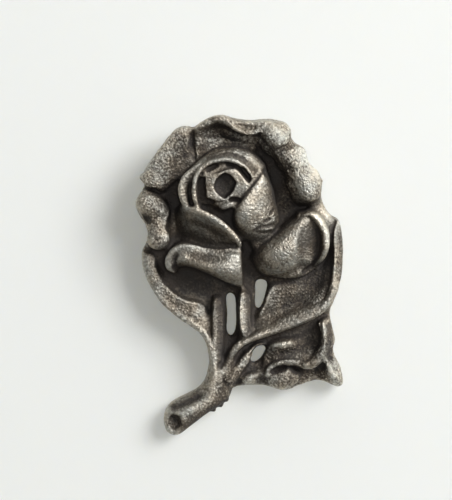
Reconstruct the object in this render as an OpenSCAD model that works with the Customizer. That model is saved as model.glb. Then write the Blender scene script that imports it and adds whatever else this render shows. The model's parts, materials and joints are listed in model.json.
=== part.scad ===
// A cast white-metal badge: an open rose on its stem, with leaves, pierced between
// the stalks, and a bent wire pin behind it. Millimetres, +Z up, +Y towards the top
// petal. It lies on its back, as it rests on a table: on the pin and the stem's tip.

/* [Casting] */
// Height of the casting, from the top petal to the tip of the stem
badge_h = 32.5; // [26:0.5:40]
// Relief of the petals and leaves above the backing, as a share of the nominal one
relief = 1; // [0.85:0.05:1.15]
// Thickness of the backing between the petals
backing_t = 1.0; // [0.8:0.1:1.2]

/* [Pin] */
// Diameter of the pin's wire
wire_d = 0.8; // [0.6:0.05:1]
// Straight length of the pin, from its bend to where the point begins
needle_l = 11; // [8:0.5:12]
// Length of the tapered point
point_l = 2; // [1:0.25:3]
// Radius of the pin's bend, at the middle of the wire
bend_r = 1; // [0.8:0.1:1.5]
// Height of the casting's back above the table, at the pin
stand_off = 2.0; // [1.8:0.1:2.4]
// Gap between the pin's foot and the socket that it stands in
fit_gap = 0.06; // [0.04:0.01:0.1]

/* [Mesh] */
// Steps between two rows of a table
steps = 2; // [1:1:4]
// Strips across a petal
strips = 5; // [4:1:8]

/* [Hidden] */

// The tables are for a badge 32.5 high: plan_k scales their x and y, relief_k their z
plan_k = badge_h / 32.5;
relief_k = plan_k * relief;

// Where the pin's foot stands and which line across the back it follows, where the
// stem's tip touches the table, and how far the badge leans when it rests on both
foot_x = -5.2 * plan_k;
pin_y = 5.0 * plan_k;
tip_y = -16.2 * plan_k;
lean = asin(stand_off / (pin_y - tip_y));
needle_z = -(stand_off - wire_d / 2) / cos(lean); // under the back, before it leans

// The collar on the back that takes the pin's foot, and the socket through it
collar_d = 2.2;
collar_h = 0.5;
socket_depth = 1.3; // into the casting, above the back
centre_y = 0.05 * plan_k; // brings the leaning badge's outline back over the origin

// Smooth curve through rows of numbers, n steps from each to the next
function blend(a, b, c, d, t) =
    0.5 * (2 * b + (c - a) * t + (2 * a - 5 * b + 4 * c - d) * t * t
           + (3 * b - a - 3 * c + d) * t * t * t);
function smooth(rows, n = steps) = let (last = len(rows) - 1) [
    for (i = [0:last - 1], j = [0:n - 1])
        blend(rows[max(i - 1, 0)], rows[i], rows[i + 1], rows[min(i + 2, last)], j / n),
    rows[last]
];
function smooth_loop(rows, n = steps) = let (m = len(rows)) [
    for (i = [0:m - 1], j = [0:n - 1])
        blend(rows[(i + m - 1) % m], rows[i], rows[(i + 1) % m], rows[(i + 2) % m], j / n)
];

// A point across a section, which has one edge, the crest and the other edge. A high
// hollow gives thin edges, and a low one gives full, rounded ones.
function across(s, v, hollow) =
    s[0] + (s[2] - s[0]) * (1 - cos(180 * v)) / 2
    + (s[1] - (s[0] + s[2]) / 2) * pow(sin(180 * v), hollow);

// Positive where the sections' last edges lie to the left of the way they run
function cross2(p, q) = p[0] * q[1] - p[1] * q[0];
function side_sum(s, i = 0) = i + 1 < len(s)
    ? cross2(s[i + 1][1] - s[i][1], s[i][2] - s[i][0]) + side_sum(s, i + 1) : 0;

// A solid that reaches from below the back up to a surface over the sections
module solid_under(sections, hollow, n) {
    k = n + 1;
    m = len(sections);
    high = [for (s = sections, j = [0:n]) let (p = across(s, j / n, hollow))
        [p[0] * plan_k, p[1] * plan_k, p[2] * relief_k]];
    low = [for (p = high) [p[0], p[1], -1]];
    b = m * k;
    faces = [
        for (i = [0:m - 2], j = [0:n - 1]) let (p = i * k + j) each [
            [p, p + 1, p + k], [p + 1, p + k + 1, p + k],
            [b + p, b + p + k, b + p + 1], [b + p + 1, b + p + k, b + p + k + 1]
        ],
        for (i = [0:m - 2]) let (p = i * k, q = p + n) each [
            [p, p + k, b + p], [b + p, p + k, b + p + k],
            [q, b + q, q + k], [b + q, b + q + k, q + k]
        ],
        for (j = [0:n - 1]) let (q = (m - 1) * k + j) each [
            [j, b + j, j + 1], [j + 1, b + j, b + j + 1],
            [q, q + 1, b + q], [q + 1, b + q + 1, b + q]
        ]
    ];
    polyhedron(concat(high, low),
               side_sum(sections) > 0 ? faces : [for (f = faces) [f[0], f[2], f[1]]]);
}

// A petal or leaf from a table: a row for each section, with the columns
// one edge [x, y, z], crest [x, y, z], other edge [x, y, z]
module fold(rows, hollow = 1.1, n = strips) {
    solid_under(smooth(rows), hollow, n);
}

// A raised line from a table with the columns x, y, z of its crest, half width
module ridge(rows, drop = 0.4, n = 3) {
    p = smooth(rows);
    last = len(p) - 1;
    sections = [for (i = [0:last]) let (
        ahead = p[min(i + 1, last)] - p[max(i - 1, 0)],
        side = [-ahead[1], ahead[0], 0] / norm([ahead[0], ahead[1]]) * p[i][3],
        crest = [p[i][0], p[i][1], p[i][2]],
        down = [0, 0, drop]
    ) [crest + side - down, crest, crest - side - down]];
    solid_under(sections, 1, n);
}

// A rolled lobe between two round ends, each [x, y, z of its top, radius]
module lobe(a, b, flat = 0.7) {
    hull() for (e = [a, b]) {
        translate([e[0] * plan_k, e[1] * plan_k, -1]) cylinder(r = e[3] * plan_k, h = 1, $fn = 10);
        translate([e[0] * plan_k, e[1] * plan_k, (e[2] - e[3] * flat) * relief_k])
            scale([plan_k, plan_k, flat * relief_k]) sphere(r = e[3], $fn = 10);
    }
}

// The flat backing, with the outline of the whole casting
module backing() {
    outline = [
        [-9.8, 2.4], [-9.3, 3.3], [-9.0, 4.6], [-9.4, 5.3], [-10.1, 6.3], [-10.4, 7.3],
        [-10.1, 8.1], [-9.4, 9.0], [-9.6, 10.2], [-9.0, 11.4], [-7.9, 12.6], [-7.2, 13.8],
        [-6.1, 14.9], [-5.1, 15.1], [-4.5, 14.8], [-3.7, 15.4], [-2.7, 16.0], [-1.8, 16.2],
        [-0.4, 15.8], [1.1, 15.65], [2.5, 15.75], [3.7, 15.7], [4.5, 15.1], [5.1, 13.9],
        [5.9, 13.1], [6.7, 12.4], [7.0, 11.3], [7.9, 10.5], [8.3, 9.4], [8.2, 8.0],
        [8.6, 6.8], [9.3, 6.0], [9.8, 5.9], [10.2, 4.8], [10.4, 2.6], [10.3, 0.4],
        [9.9, -1.6], [9.2, -3.2], [9.2, -4.6], [9.7, -6.4], [9.4, -7.5], [10.2, -9.1],
        [10.5, -10.8], [10.1, -11.2], [8.9, -10.8], [7.9, -10.5], [6.4, -10.9], [5.0, -11.5],
        [3.9, -11.5], [2.6, -11.05], [0.1, -11.1], [-0.9, -11.5], [-1.3, -12.5], [-2.6, -13.5],
        [-4.2, -14.5], [-5.7, -15.8], [-6.6, -16.2], [-7.3, -15.7], [-7.6, -14.7],
        [-7.1, -13.0], [-5.7, -12.1], [-4.1, -11.3], [-3.3, -10.2], [-3.0, -8.4], [-3.2, -6.9],
        [-4.1, -5.6], [-5.9, -4.4], [-7.3, -3.1], [-8.7, -1.4], [-9.5, 0.6]
    ];
    translate([0, 0, -1]) linear_extrude(1 + backing_t)
        polygon([for (p = smooth_loop(outline)) p * plan_k]);
}

module back_petals() {
    // upper left petal, flat and grainy, its far edge a little raised
    fold([
        [[-4.5, 14.7, 1.9], [-4.6, 13.1, 1.9], [-4.3, 11.2, 1.7]],
        [[-5.2, 15.0, 2.4], [-5.1, 13.0, 2.4], [-4.7, 10.9, 1.8]],
        [[-6.2, 14.8, 2.4], [-5.8, 12.7, 2.5], [-5.2, 10.5, 1.9]],
        [[-7.3, 13.6, 2.3], [-6.7, 12.0, 2.5], [-5.7, 10.1, 1.9]],
        [[-8.7, 11.8, 2.2], [-7.7, 10.9, 2.6], [-6.5, 9.5, 1.9]],
        [[-9.5, 10.3, 2.1], [-8.3, 9.9, 2.8], [-7.1, 8.9, 1.9]],
        [[-9.3, 9.2, 1.9], [-8.4, 9.0, 2.7], [-7.6, 8.4, 1.7]]
    ], 0.8);
    // top petal, hollow behind its rim
    fold([
        [[-4.5, 14.7, 2.0], [-4.4, 13.1, 1.9], [-4.1, 11.5, 1.8]],
        [[-4.0, 15.1, 2.8], [-3.8, 13.5, 2.5], [-3.5, 11.9, 2.1]],
        [[-2.9, 15.8, 3.0], [-2.7, 14.1, 2.1], [-2.4, 12.5, 2.0]],
        [[-1.7, 16.0, 3.2], [-1.6, 14.5, 1.8], [-1.5, 12.8, 1.9]],
        [[0.1, 15.6, 3.2], [0.2, 14.4, 1.6], [0.2, 12.9, 1.7]],
        [[1.9, 15.5, 3.2], [1.8, 14.0, 1.5], [1.5, 12.4, 1.5]],
        [[3.3, 15.4, 3.2], [3.1, 13.8, 1.7], [2.7, 11.8, 1.2]]
    ], 1.6);
    ridge([
        [-4.4, 14.6, 2.4, 0.3], [-3.6, 15.15, 3.0, 0.35], [-2.6, 15.65, 3.3, 0.4],
        [-1.7, 15.8, 3.5, 0.4], [-0.7, 15.5, 3.5, 0.4], [0.2, 15.2, 3.4, 0.45],
        [1.2, 15.15, 3.4, 0.45], [2.3, 15.2, 3.5, 0.5], [3.3, 15.2, 3.6, 0.5]
    ]);
    // turned-over lip below the rim
    ridge([
        [-1.7, 15.5, 3.4, 0.2], [-0.8, 15.2, 3.6, 0.25], [-0.2, 14.85, 3.7, 0.25],
        [0.6, 14.65, 3.7, 0.25], [1.4, 14.65, 3.7, 0.25], [2.2, 14.85, 3.7, 0.25],
        [2.9, 15.1, 3.5, 0.2]
    ]);
    // right edge, one long roll under four lobes
    fold([
        [[2.6, 15.6, 2.6], [2.7, 14.9, 3.3], [2.3, 14.0, 1.6]],
        [[4.0, 15.4, 2.4], [3.7, 14.3, 3.7], [2.8, 13.0, 1.6]],
        [[5.0, 13.9, 2.2], [4.3, 13.1, 3.3], [3.3, 12.1, 1.5]],
        [[6.4, 12.6, 2.0], [5.4, 11.9, 3.6], [4.1, 11.0, 1.3]],
        [[6.9, 11.3, 2.0], [6.0, 10.9, 3.4], [4.6, 10.0, 1.2]],
        [[8.1, 9.8, 2.0], [6.7, 9.5, 3.8], [4.9, 8.8, 1.1]],
        [[8.2, 8.6, 2.0], [6.9, 8.4, 3.5], [5.2, 7.8, 1.1]],
        [[8.1, 7.3, 1.9], [7.2, 7.3, 2.5], [6.0, 7.0, 1.2]]
    ], 0.9);
    lobe([4.0, 14.4, 4.1, 1.2], [3.1, 13.3, 2.9, 1.0]);
    lobe([5.7, 12.1, 4.1, 1.1], [4.6, 11.5, 3.1, 0.9]);
    lobe([6.8, 9.9, 4.3, 1.25], [5.7, 9.5, 3.3, 1.1]);
    lobe([7.0, 8.6, 3.9, 1.1], [6.1, 8.3, 3.0, 1.0]);
    // outer petal that shows past the lobes, sloping outwards
    fold([
        [[8.2, 7.8, 1.8], [7.5, 7.3, 2.6], [6.7, 6.8, 2.4]],
        [[8.7, 6.7, 1.8], [8.2, 6.3, 2.8], [7.5, 5.9, 2.6]],
        [[9.4, 5.9, 1.8], [8.9, 5.5, 2.7], [8.3, 5.0, 2.6]],
        [[9.6, 5.0, 1.6], [9.2, 4.6, 2.2], [8.7, 4.0, 2.4]]
    ], 1);
    // left edge, a roll under two lobes
    fold([
        [[-9.4, 8.9, 1.8], [-8.7, 8.6, 2.4], [-7.7, 8.2, 1.5]],
        [[-10.2, 7.3, 1.6], [-8.8, 7.2, 2.8], [-7.0, 6.9, 1.2]],
        [[-9.6, 5.8, 1.6], [-8.5, 5.9, 2.4], [-6.9, 6.0, 1.2]],
        [[-9.1, 4.5, 1.6], [-8.2, 4.6, 2.5], [-6.9, 4.7, 1.2]],
        [[-9.1, 3.5, 1.6], [-8.1, 3.6, 2.5], [-6.9, 3.6, 1.2]],
        [[-8.8, 2.8, 1.4], [-8.0, 2.8, 1.9], [-7.1, 2.7, 1.1]]
    ], 0.9);
    lobe([-9.2, 7.4, 3.3, 1.1], [-8.0, 7.0, 3.1, 1.0]);
    lobe([-8.2, 5.0, 2.9, 0.75], [-8.1, 3.9, 3.3, 0.95]);
    lobe([-9.4, 9.9, 2.5, 0.35], [-8.9, 9.4, 2.7, 0.4]);
}

module front_petals() {
    // lower right petal: a full body with a hollow beside it
    fold([
        [[6.1, 6.5, 2.4], [6.8, 6.2, 3.5], [7.4, 5.9, 2.9]],
        [[4.9, 5.7, 2.2], [6.0, 5.2, 4.2], [7.0, 4.5, 2.7]],
        [[3.7, 4.6, 2.0], [5.1, 3.9, 4.4], [6.8, 2.7, 2.7]],
        [[2.6, 3.7, 1.9], [4.0, 2.7, 4.3], [6.0, 0.8, 2.3]],
        [[1.7, 2.9, 1.7], [2.8, 1.8, 3.7], [4.3, 0.0, 1.7]],
        [[1.1, 2.0, 1.3], [1.6, 1.2, 2.5], [2.3, 0.2, 1.3]]
    ], 0.9);
    fold([
        [[6.8, 6.3, 3.2], [7.4, 6.0, 3.2], [7.9, 5.9, 3.1]],
        [[6.9, 5.0, 3.0], [7.6, 4.7, 2.3], [8.5, 4.8, 3.1]],
        [[6.7, 3.4, 2.9], [7.5, 3.1, 2.0], [8.8, 3.4, 3.1]],
        [[6.1, 1.8, 2.8], [7.2, 1.8, 2.2], [8.6, 2.1, 2.9]],
        [[5.1, 0.5, 2.4], [6.2, 0.6, 2.7], [7.6, 0.9, 2.4]],
        [[3.7, -0.1, 1.7], [4.9, -0.1, 2.3], [6.2, 0.0, 1.7]]
    ], 1.6);
    ridge([
        [5.7, 6.3, 3.5, 0.25], [6.6, 6.4, 3.8, 0.3], [7.4, 6.1, 3.9, 0.3],
        [8.1, 5.4, 3.9, 0.3], [8.5, 4.5, 3.8, 0.3], [8.6, 3.5, 3.7, 0.3],
        [8.4, 2.5, 3.5, 0.3], [7.9, 1.7, 3.1, 0.25]
    ]);
    // lower left petal, its lower edge rolled and its left end curled over
    fold([
        [[-7.3, 1.7, 2.2], [-7.1, 1.4, 2.8], [-6.8, 0.8, 1.6]],
        [[-6.6, 2.9, 2.8], [-6.2, 2.0, 3.0], [-6.0, 1.0, 1.6]],
        [[-5.4, 3.5, 3.0], [-5.2, 2.1, 3.5], [-5.1, 1.1, 1.4]],
        [[-3.9, 3.1, 3.1], [-3.7, 1.6, 4.0], [-3.6, 0.6, 1.4]],
        [[-2.3, 3.0, 3.3], [-2.1, 1.1, 4.3], [-1.9, -0.2, 1.4]],
        [[-0.8, 3.0, 3.4], [-0.7, 0.9, 4.4], [-0.6, -0.9, 1.4]],
        [[0.2, 3.0, 3.2], [0.3, 0.9, 4.1], [0.4, -1.1, 1.4]]
    ], 0.8);
    ridge([
        [-6.2, 0.6, 2.4, 0.2], [-6.9, 0.8, 2.9, 0.22], [-7.2, 1.4, 3.2, 0.22],
        [-7.0, 2.2, 3.3, 0.22], [-6.5, 2.9, 3.5, 0.22], [-5.8, 3.3, 3.6, 0.25],
        [-5.0, 3.3, 3.7, 0.25], [-4.1, 3.0, 3.7, 0.22], [-3.0, 2.85, 3.7, 0.2],
        [-1.8, 2.8, 3.8, 0.2], [-0.5, 2.9, 3.9, 0.2], [0.2, 2.8, 3.7, 0.15]
    ]);
    // small folds where the front petals meet
    lobe([1.6, 3.4, 2.8, 0.5], [1.9, 2.9, 2.6, 0.4]);
    lobe([2.9, 3.9, 2.7, 0.4], [2.6, 3.3, 2.5, 0.4]);
}

module bud() {
    // raised bed that the bud's petals stand on
    bed = [
        [-5.6, 8.6], [-5.2, 10.0], [-4.2, 11.1], [-2.9, 12.3], [-1.4, 12.8], [0.1, 12.8],
        [1.5, 12.2], [2.6, 11.0], [3.2, 9.1], [3.6, 6.9], [3.6, 5.2], [2.6, 4.1],
        [1.1, 3.8], [-0.1, 4.0], [-1.7, 5.2], [-3.4, 6.4], [-5.1, 7.1]
    ];
    translate([0, 0, -1]) linear_extrude(1 + 2.9 * relief_k)
        polygon([for (p = smooth_loop(bed)) p * plan_k]);
    // outermost petal: a crescent on the left and a broad band over the top
    fold([
        [[-5.6, 7.1, 3.2], [-5.1, 6.9, 4.1], [-4.7, 6.8, 3.4]],
        [[-6.0, 8.1, 3.0], [-5.4, 8.1, 4.3], [-4.95, 7.9, 3.4]],
        [[-6.0, 9.2, 3.0], [-5.5, 9.2, 4.4], [-5.0, 9.1, 3.4]],
        [[-5.5, 10.3, 3.0], [-5.1, 10.1, 4.4], [-4.7, 9.9, 3.4]],
        [[-4.6, 11.2, 3.0], [-4.3, 10.9, 4.2], [-4.0, 10.6, 3.5]],
        [[-3.6, 12.1, 3.0], [-3.3, 11.7, 4.2], [-3.0, 11.4, 3.8]],
        [[-2.4, 12.9, 3.0], [-2.2, 12.4, 4.3], [-2.0, 12.0, 4.0]],
        [[-0.9, 13.1, 3.0], [-0.8, 12.6, 4.4], [-0.7, 12.0, 4.1]],
        [[0.8, 12.8, 3.0], [0.5, 12.3, 4.4], [0.2, 11.6, 4.1]],
        [[2.0, 12.0, 3.0], [1.5, 11.6, 4.4], [0.9, 10.9, 4.0]],
        [[2.7, 11.1, 3.0], [2.2, 10.8, 4.3], [1.4, 10.1, 3.8]]
    ], 0.9, 4);
    // rim of the next petal in
    ridge([
        [-3.9, 7.0, 4.2, 0.3], [-4.3, 7.8, 4.5, 0.3], [-4.4, 8.9, 4.6, 0.3],
        [-4.3, 9.9, 4.6, 0.28], [-3.9, 10.7, 4.6, 0.25], [-3.2, 11.4, 4.6, 0.25],
        [-2.4, 11.7, 4.8, 0.25], [-1.4, 11.85, 4.9, 0.25], [-0.4, 11.75, 4.9, 0.25],
        [0.3, 11.35, 4.9, 0.25], [0.9, 10.75, 4.8, 0.25], [1.2, 10.1, 4.5, 0.2]
    ], 0.6);
    // heart of the bud, a five-sided ring round a pit
    ridge([
        [-2.65, 8.4, 4.4, 0.6], [-2.9, 9.0, 4.5, 0.7], [-2.8, 9.7, 4.6, 0.65],
        [-2.3, 10.2, 4.6, 0.55], [-1.5, 10.5, 4.7, 0.5], [-0.7, 10.6, 5.0, 0.55],
        [-0.2, 10.2, 5.1, 0.6], [0.1, 9.7, 5.0, 0.65], [0.3, 9.3, 5.0, 0.7],
        [0.0, 8.7, 4.9, 0.65], [-0.4, 8.1, 4.7, 0.55], [-0.9, 7.6, 4.7, 0.5],
        [-1.6, 7.4, 4.5, 0.5], [-2.2, 7.7, 4.3, 0.55], [-2.85, 8.6, 4.25, 0.65]
    ], 0.6, 4);
    lobe([-1.6, 7.2, 4.6, 0.4], [-0.8, 7.5, 4.9, 0.35]);
    // front right petal of the bud, crisp at its rim and full below it
    fold([
        [[2.2, 10.6, 4.2], [2.6, 10.3, 4.2], [2.9, 9.9, 3.4]],
        [[1.3, 9.3, 4.8], [2.4, 9.2, 4.7], [3.4, 8.9, 3.2]],
        [[0.2, 8.0, 5.0], [1.9, 7.9, 5.0], [3.6, 7.7, 3.0]],
        [[-0.5, 6.8, 4.6], [1.6, 6.7, 5.1], [3.9, 6.6, 2.8]],
        [[-0.6, 5.6, 3.7], [1.6, 5.5, 4.7], [4.0, 5.5, 2.6]],
        [[-0.1, 4.6, 3.0], [1.7, 4.5, 3.8], [3.3, 4.4, 2.4]],
        [[0.8, 3.8, 2.3], [1.7, 3.6, 2.8], [2.5, 3.7, 2.2]]
    ], 0.8);
    // front left petal, a cup falling away from its rim
    fold([
        [[-5.5, 7.2, 3.9], [-6.0, 7.0, 2.7], [-6.5, 6.6, 1.0]],
        [[-4.4, 6.7, 4.3], [-5.2, 5.5, 2.8], [-6.3, 4.6, 1.0]],
        [[-2.9, 6.0, 4.5], [-3.8, 4.4, 2.9], [-4.9, 3.0, 1.2]],
        [[-1.5, 5.0, 4.5], [-2.2, 3.7, 3.2], [-3.1, 2.6, 1.8]],
        [[-0.6, 4.1, 4.3], [-1.0, 3.3, 3.3], [-1.6, 2.5, 2.2]],
        [[0.1, 3.2, 3.7], [-0.1, 2.8, 3.0], [-0.3, 2.3, 2.4]]
    ], 1.4);
    ridge([
        [-5.5, 7.2, 4.1, 0.2], [-4.9, 6.9, 4.4, 0.25], [-4.1, 6.7, 4.6, 0.25],
        [-3.2, 6.3, 4.7, 0.25], [-2.3, 5.8, 4.8, 0.25], [-1.5, 5.1, 4.7, 0.25],
        [-0.8, 4.4, 4.5, 0.25], [-0.2, 3.7, 4.2, 0.22], [0.2, 3.2, 3.8, 0.15]
    ]);
}

module left_leaf() {
    fold([
        [[-9.7, 2.6, 1.3], [-9.0, 2.4, 1.8], [-8.3, 2.2, 1.6]],
        [[-9.7, 1.2, 1.4], [-8.9, 1.1, 2.0], [-8.2, 1.0, 1.7]],
        [[-9.2, -0.4, 1.4], [-8.4, -0.5, 2.0], [-7.6, -0.4, 1.7]],
        [[-8.2, -2.0, 1.4], [-7.3, -1.8, 2.0], [-6.4, -1.6, 1.7]],
        [[-6.8, -3.5, 1.4], [-6.1, -2.9, 2.0], [-5.1, -2.3, 1.7]],
        [[-5.3, -4.7, 1.4], [-4.6, -3.9, 1.9], [-3.6, -2.7, 1.7]],
        [[-4.0, -5.6, 1.4], [-3.6, -5.1, 2.0], [-2.9, -4.2, 1.6]],
        [[-3.3, -6.7, 1.4], [-3.0, -6.5, 2.0], [-2.5, -6.3, 1.6]],
        [[-3.0, -8.2, 1.4], [-2.6, -8.2, 2.1], [-2.0, -8.2, 1.6]],
        [[-3.1, -9.6, 1.4], [-2.5, -9.6, 2.2], [-1.9, -9.6, 1.7]],
        [[-3.6, -10.8, 1.4], [-2.8, -11.0, 2.3], [-2.0, -11.2, 1.7]]
    ], 0.9, 4);
    ridge([
        [-8.5, -1.2, 2.0, 0.2], [-7.5, -2.4, 2.2, 0.25], [-6.3, -3.5, 2.3, 0.25],
        [-4.9, -4.55, 2.4, 0.25], [-3.8, -5.3, 2.4, 0.25], [-3.0, -6.4, 2.5, 0.25],
        [-2.7, -7.6, 2.5, 0.28], [-2.4, -8.8, 2.6, 0.28], [-2.5, -10.2, 2.6, 0.3],
        [-2.9, -11.3, 2.6, 0.35]
    ]);
}

module right_leaf() {
    // plate, hollow between its rim and the bloom
    fold([
        [[10.0, 5.7, 1.5], [9.7, 5.5, 2.2], [9.4, 5.3, 1.8]],
        [[10.3, 4.0, 1.4], [9.8, 3.8, 2.3], [9.3, 3.6, 1.8]],
        [[10.3, 2.0, 1.4], [9.5, 1.6, 1.7], [8.6, 1.4, 1.5]],
        [[10.2, 0.2, 1.4], [8.6, 0.0, 1.4], [6.6, -0.1, 1.4]],
        [[9.7, -1.9, 1.4], [7.3, -1.4, 1.4], [4.6, -0.5, 1.5]],
        [[8.9, -3.5, 1.4], [6.1, -2.4, 1.4], [3.1, -1.0, 1.6]],
        [[6.6, -4.5, 1.4], [4.6, -3.4, 1.4], [2.5, -2.6, 1.6]],
        [[4.4, -5.3, 1.4], [3.1, -4.5, 1.4], [1.8, -3.9, 1.5]],
        [[2.3, -6.0, 1.4], [1.8, -5.5, 1.5], [1.3, -5.0, 1.4]]
    ], 1.6, 4);
    // rim
    ridge([
        [9.8, 5.8, 2.2, 0.25], [9.6, 5.0, 2.7, 0.35], [9.6, 3.9, 2.9, 0.4],
        [9.65, 2.6, 2.9, 0.4], [9.65, 1.1, 2.9, 0.42], [9.5, -0.4, 2.9, 0.42],
        [9.15, -1.8, 2.8, 0.42], [8.5, -2.9, 2.8, 0.4], [7.6, -3.6, 2.8, 0.4],
        [6.4, -4.2, 2.7, 0.4], [4.9, -4.8, 2.7, 0.4], [3.3, -5.4, 2.7, 0.38],
        [1.7, -6.0, 2.7, 0.35], [0.6, -6.4, 2.7, 0.35], [-0.2, -7.0, 2.7, 0.4],
        [-0.8, -7.9, 2.6, 0.4]
    ], 0.8);
    // outer slope beyond the rim
    fold([
        [[10.1, 4.6, 1.4], [9.9, 4.2, 2.4], [9.6, 4.0, 2.3]],
        [[10.35, 2.6, 1.4], [10.0, 2.4, 2.4], [9.6, 2.2, 2.3]],
        [[10.25, 0.4, 1.4], [9.9, 0.4, 2.4], [9.5, 0.4, 2.3]],
        [[9.8, -1.6, 1.4], [9.5, -1.5, 2.3], [9.1, -1.4, 2.3]],
        [[9.15, -3.2, 1.4], [8.7, -2.9, 2.2], [8.3, -2.5, 2.2]]
    ], 1, 3);
}

module lower_leaf() {
    // scoop below the right leaf
    fold([
        [[2.6, -6.9, 1.4], [2.5, -8.0, 1.5], [2.3, -9.4, 1.5]],
        [[3.6, -6.4, 1.9], [3.9, -7.6, 1.5], [3.7, -8.8, 1.8]],
        [[5.1, -6.2, 1.9], [5.3, -7.3, 1.5], [5.3, -8.6, 1.9]],
        [[6.6, -5.9, 1.3], [6.8, -7.1, 1.3], [6.9, -8.9, 1.9]],
        [[8.1, -4.4, 1.4], [7.9, -6.4, 1.5], [8.1, -8.5, 1.9]],
        [[9.1, -4.2, 1.5], [8.9, -6.0, 2.2], [9.2, -7.8, 1.6]]
    ], 1.4);
    // short fold at its upper edge
    ridge([
        [2.8, -7.3, 1.9, 0.25], [3.5, -6.75, 2.2, 0.3], [4.4, -6.45, 2.3, 0.3],
        [5.4, -6.3, 2.1, 0.25]
    ]);
    // rim, from the right leaf round to the curled lobe
    ridge([
        [8.1, -4.3, 2.5, 0.25], [8.3, -5.0, 2.7, 0.3], [8.6, -6.1, 2.8, 0.32],
        [8.5, -7.3, 2.8, 0.32], [8.1, -8.2, 2.7, 0.32], [7.4, -8.8, 2.6, 0.32],
        [6.6, -8.95, 2.5, 0.3], [6.0, -8.7, 2.5, 0.3], [5.2, -8.5, 2.6, 0.3],
        [4.4, -8.5, 2.6, 0.3], [3.6, -8.8, 2.5, 0.3], [3.0, -9.3, 2.4, 0.3],
        [2.7, -9.9, 2.2, 0.28]
    ]);
    // outer slope on the right
    fold([
        [[9.1, -4.0, 1.4], [8.8, -4.0, 2.1], [8.4, -4.1, 2.0]],
        [[9.4, -5.2, 1.4], [9.0, -5.2, 2.3], [8.5, -5.2, 2.2]],
        [[9.6, -6.4, 1.4], [9.2, -6.4, 2.3], [8.7, -6.4, 2.2]],
        [[9.3, -7.2, 1.4], [8.9, -7.3, 2.1], [8.4, -7.4, 2.1]]
    ], 1, 3);
    // edge below the rim: a curled lobe, a valley and a pointed tip
    lobe([4.5, -10.2, 2.5, 1.15], [3.5, -10.0, 2.2, 0.85], 0.6);
    lobe([5.4, -10.0, 2.2, 0.8], [4.6, -10.4, 2.3, 0.9], 0.6);
    fold([
        [[9.35, -7.8, 1.35], [9.0, -8.7, 2.1], [8.4, -9.4, 1.2]],
        [[10.1, -8.9, 1.4], [9.5, -9.7, 2.3], [8.9, -10.5, 1.2]],
        [[10.45, -10.2, 1.3], [10.1, -10.6, 1.9], [9.8, -11.1, 1.2]],
        [[10.5, -10.9, 1.2], [10.4, -11.0, 1.4], [10.2, -11.1, 1.2]]
    ], 0.9, 4);
    ridge([
        [8.6, -8.1, 2.3, 0.22], [9.0, -8.9, 2.6, 0.28], [9.4, -9.7, 2.6, 0.28],
        [9.9, -10.4, 2.3, 0.25]
    ]);
    lobe([1.2, -10.1, 2.1, 0.5], [0.6, -10.4, 2.0, 0.45]);
    lobe([2.1, -9.7, 1.6, 0.5], [1.4, -10.4, 1.6, 0.5]);
}

module stalks() {
    // left stalk, from the bloom
    fold([
        [[-2.8, -2.4, 1.3], [-2.3, -2.2, 2.0], [-1.9, -2.4, 1.4]],
        [[-2.8, -3.9, 1.3], [-2.4, -3.9, 2.4], [-1.7, -3.9, 1.4]],
        [[-2.7, -5.4, 1.3], [-2.4, -5.4, 2.4], [-1.7, -5.5, 1.4]],
        [[-2.6, -6.9, 1.3], [-2.2, -6.9, 2.4], [-1.7, -7.0, 1.4]],
        [[-2.5, -8.6, 1.5], [-2.1, -8.6, 2.3], [-1.7, -8.7, 1.4]]
    ], 0.9, 4);
    // middle stalk
    fold([
        [[0.1, -0.9, 1.3], [0.5, -0.9, 1.9], [0.8, -1.2, 1.4]],
        [[-0.1, -2.1, 1.3], [0.5, -2.1, 2.4], [1.3, -2.2, 1.5]],
        [[-0.2, -3.6, 1.3], [0.5, -3.6, 2.5], [1.2, -3.6, 1.5]],
        [[-0.2, -5.0, 1.3], [0.5, -5.0, 2.4], [1.3, -4.9, 1.5]],
        [[-0.1, -6.1, 1.3], [0.7, -6.0, 2.2], [1.4, -5.8, 1.5]]
    ], 0.9, 4);
    // stalks of the right leaf and of the lower leaf
    ridge([
        [-0.8, -7.8, 2.5, 0.5], [-1.2, -8.8, 2.4, 0.55], [-1.7, -9.8, 2.4, 0.6],
        [-2.2, -11.0, 2.5, 0.7]
    ], 0.8, 4);
    ridge([
        [1.2, -7.3, 2.0, 0.35], [0.6, -8.4, 2.4, 0.5], [-0.2, -9.4, 2.4, 0.6],
        [-1.1, -10.4, 2.4, 0.7], [-2.2, -11.6, 2.5, 0.8]
    ], 0.8, 4);
    // stem, with a flat between two raised bands
    fold([
        [[-3.4, -10.4, 1.4], [-2.1, -11.2, 2.5], [-0.6, -11.6, 1.4]],
        [[-4.2, -11.4, 1.4], [-2.9, -12.1, 2.7], [-1.6, -12.8, 1.4]],
        [[-5.5, -12.0, 1.4], [-4.0, -12.9, 2.8], [-2.8, -13.5, 1.4]],
        [[-6.7, -12.7, 1.4], [-5.2, -13.7, 2.8], [-4.0, -14.4, 1.4]],
        [[-7.4, -13.5, 1.4], [-6.1, -14.5, 2.7], [-5.0, -15.2, 1.4]],
        [[-7.6, -14.6, 1.3], [-6.7, -15.1, 2.5], [-6.0, -16.0, 1.3]],
        [[-7.3, -15.6, 1.2], [-7.0, -15.8, 1.9], [-6.7, -16.1, 1.2]]
    ], 0.8, 6);
}

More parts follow.
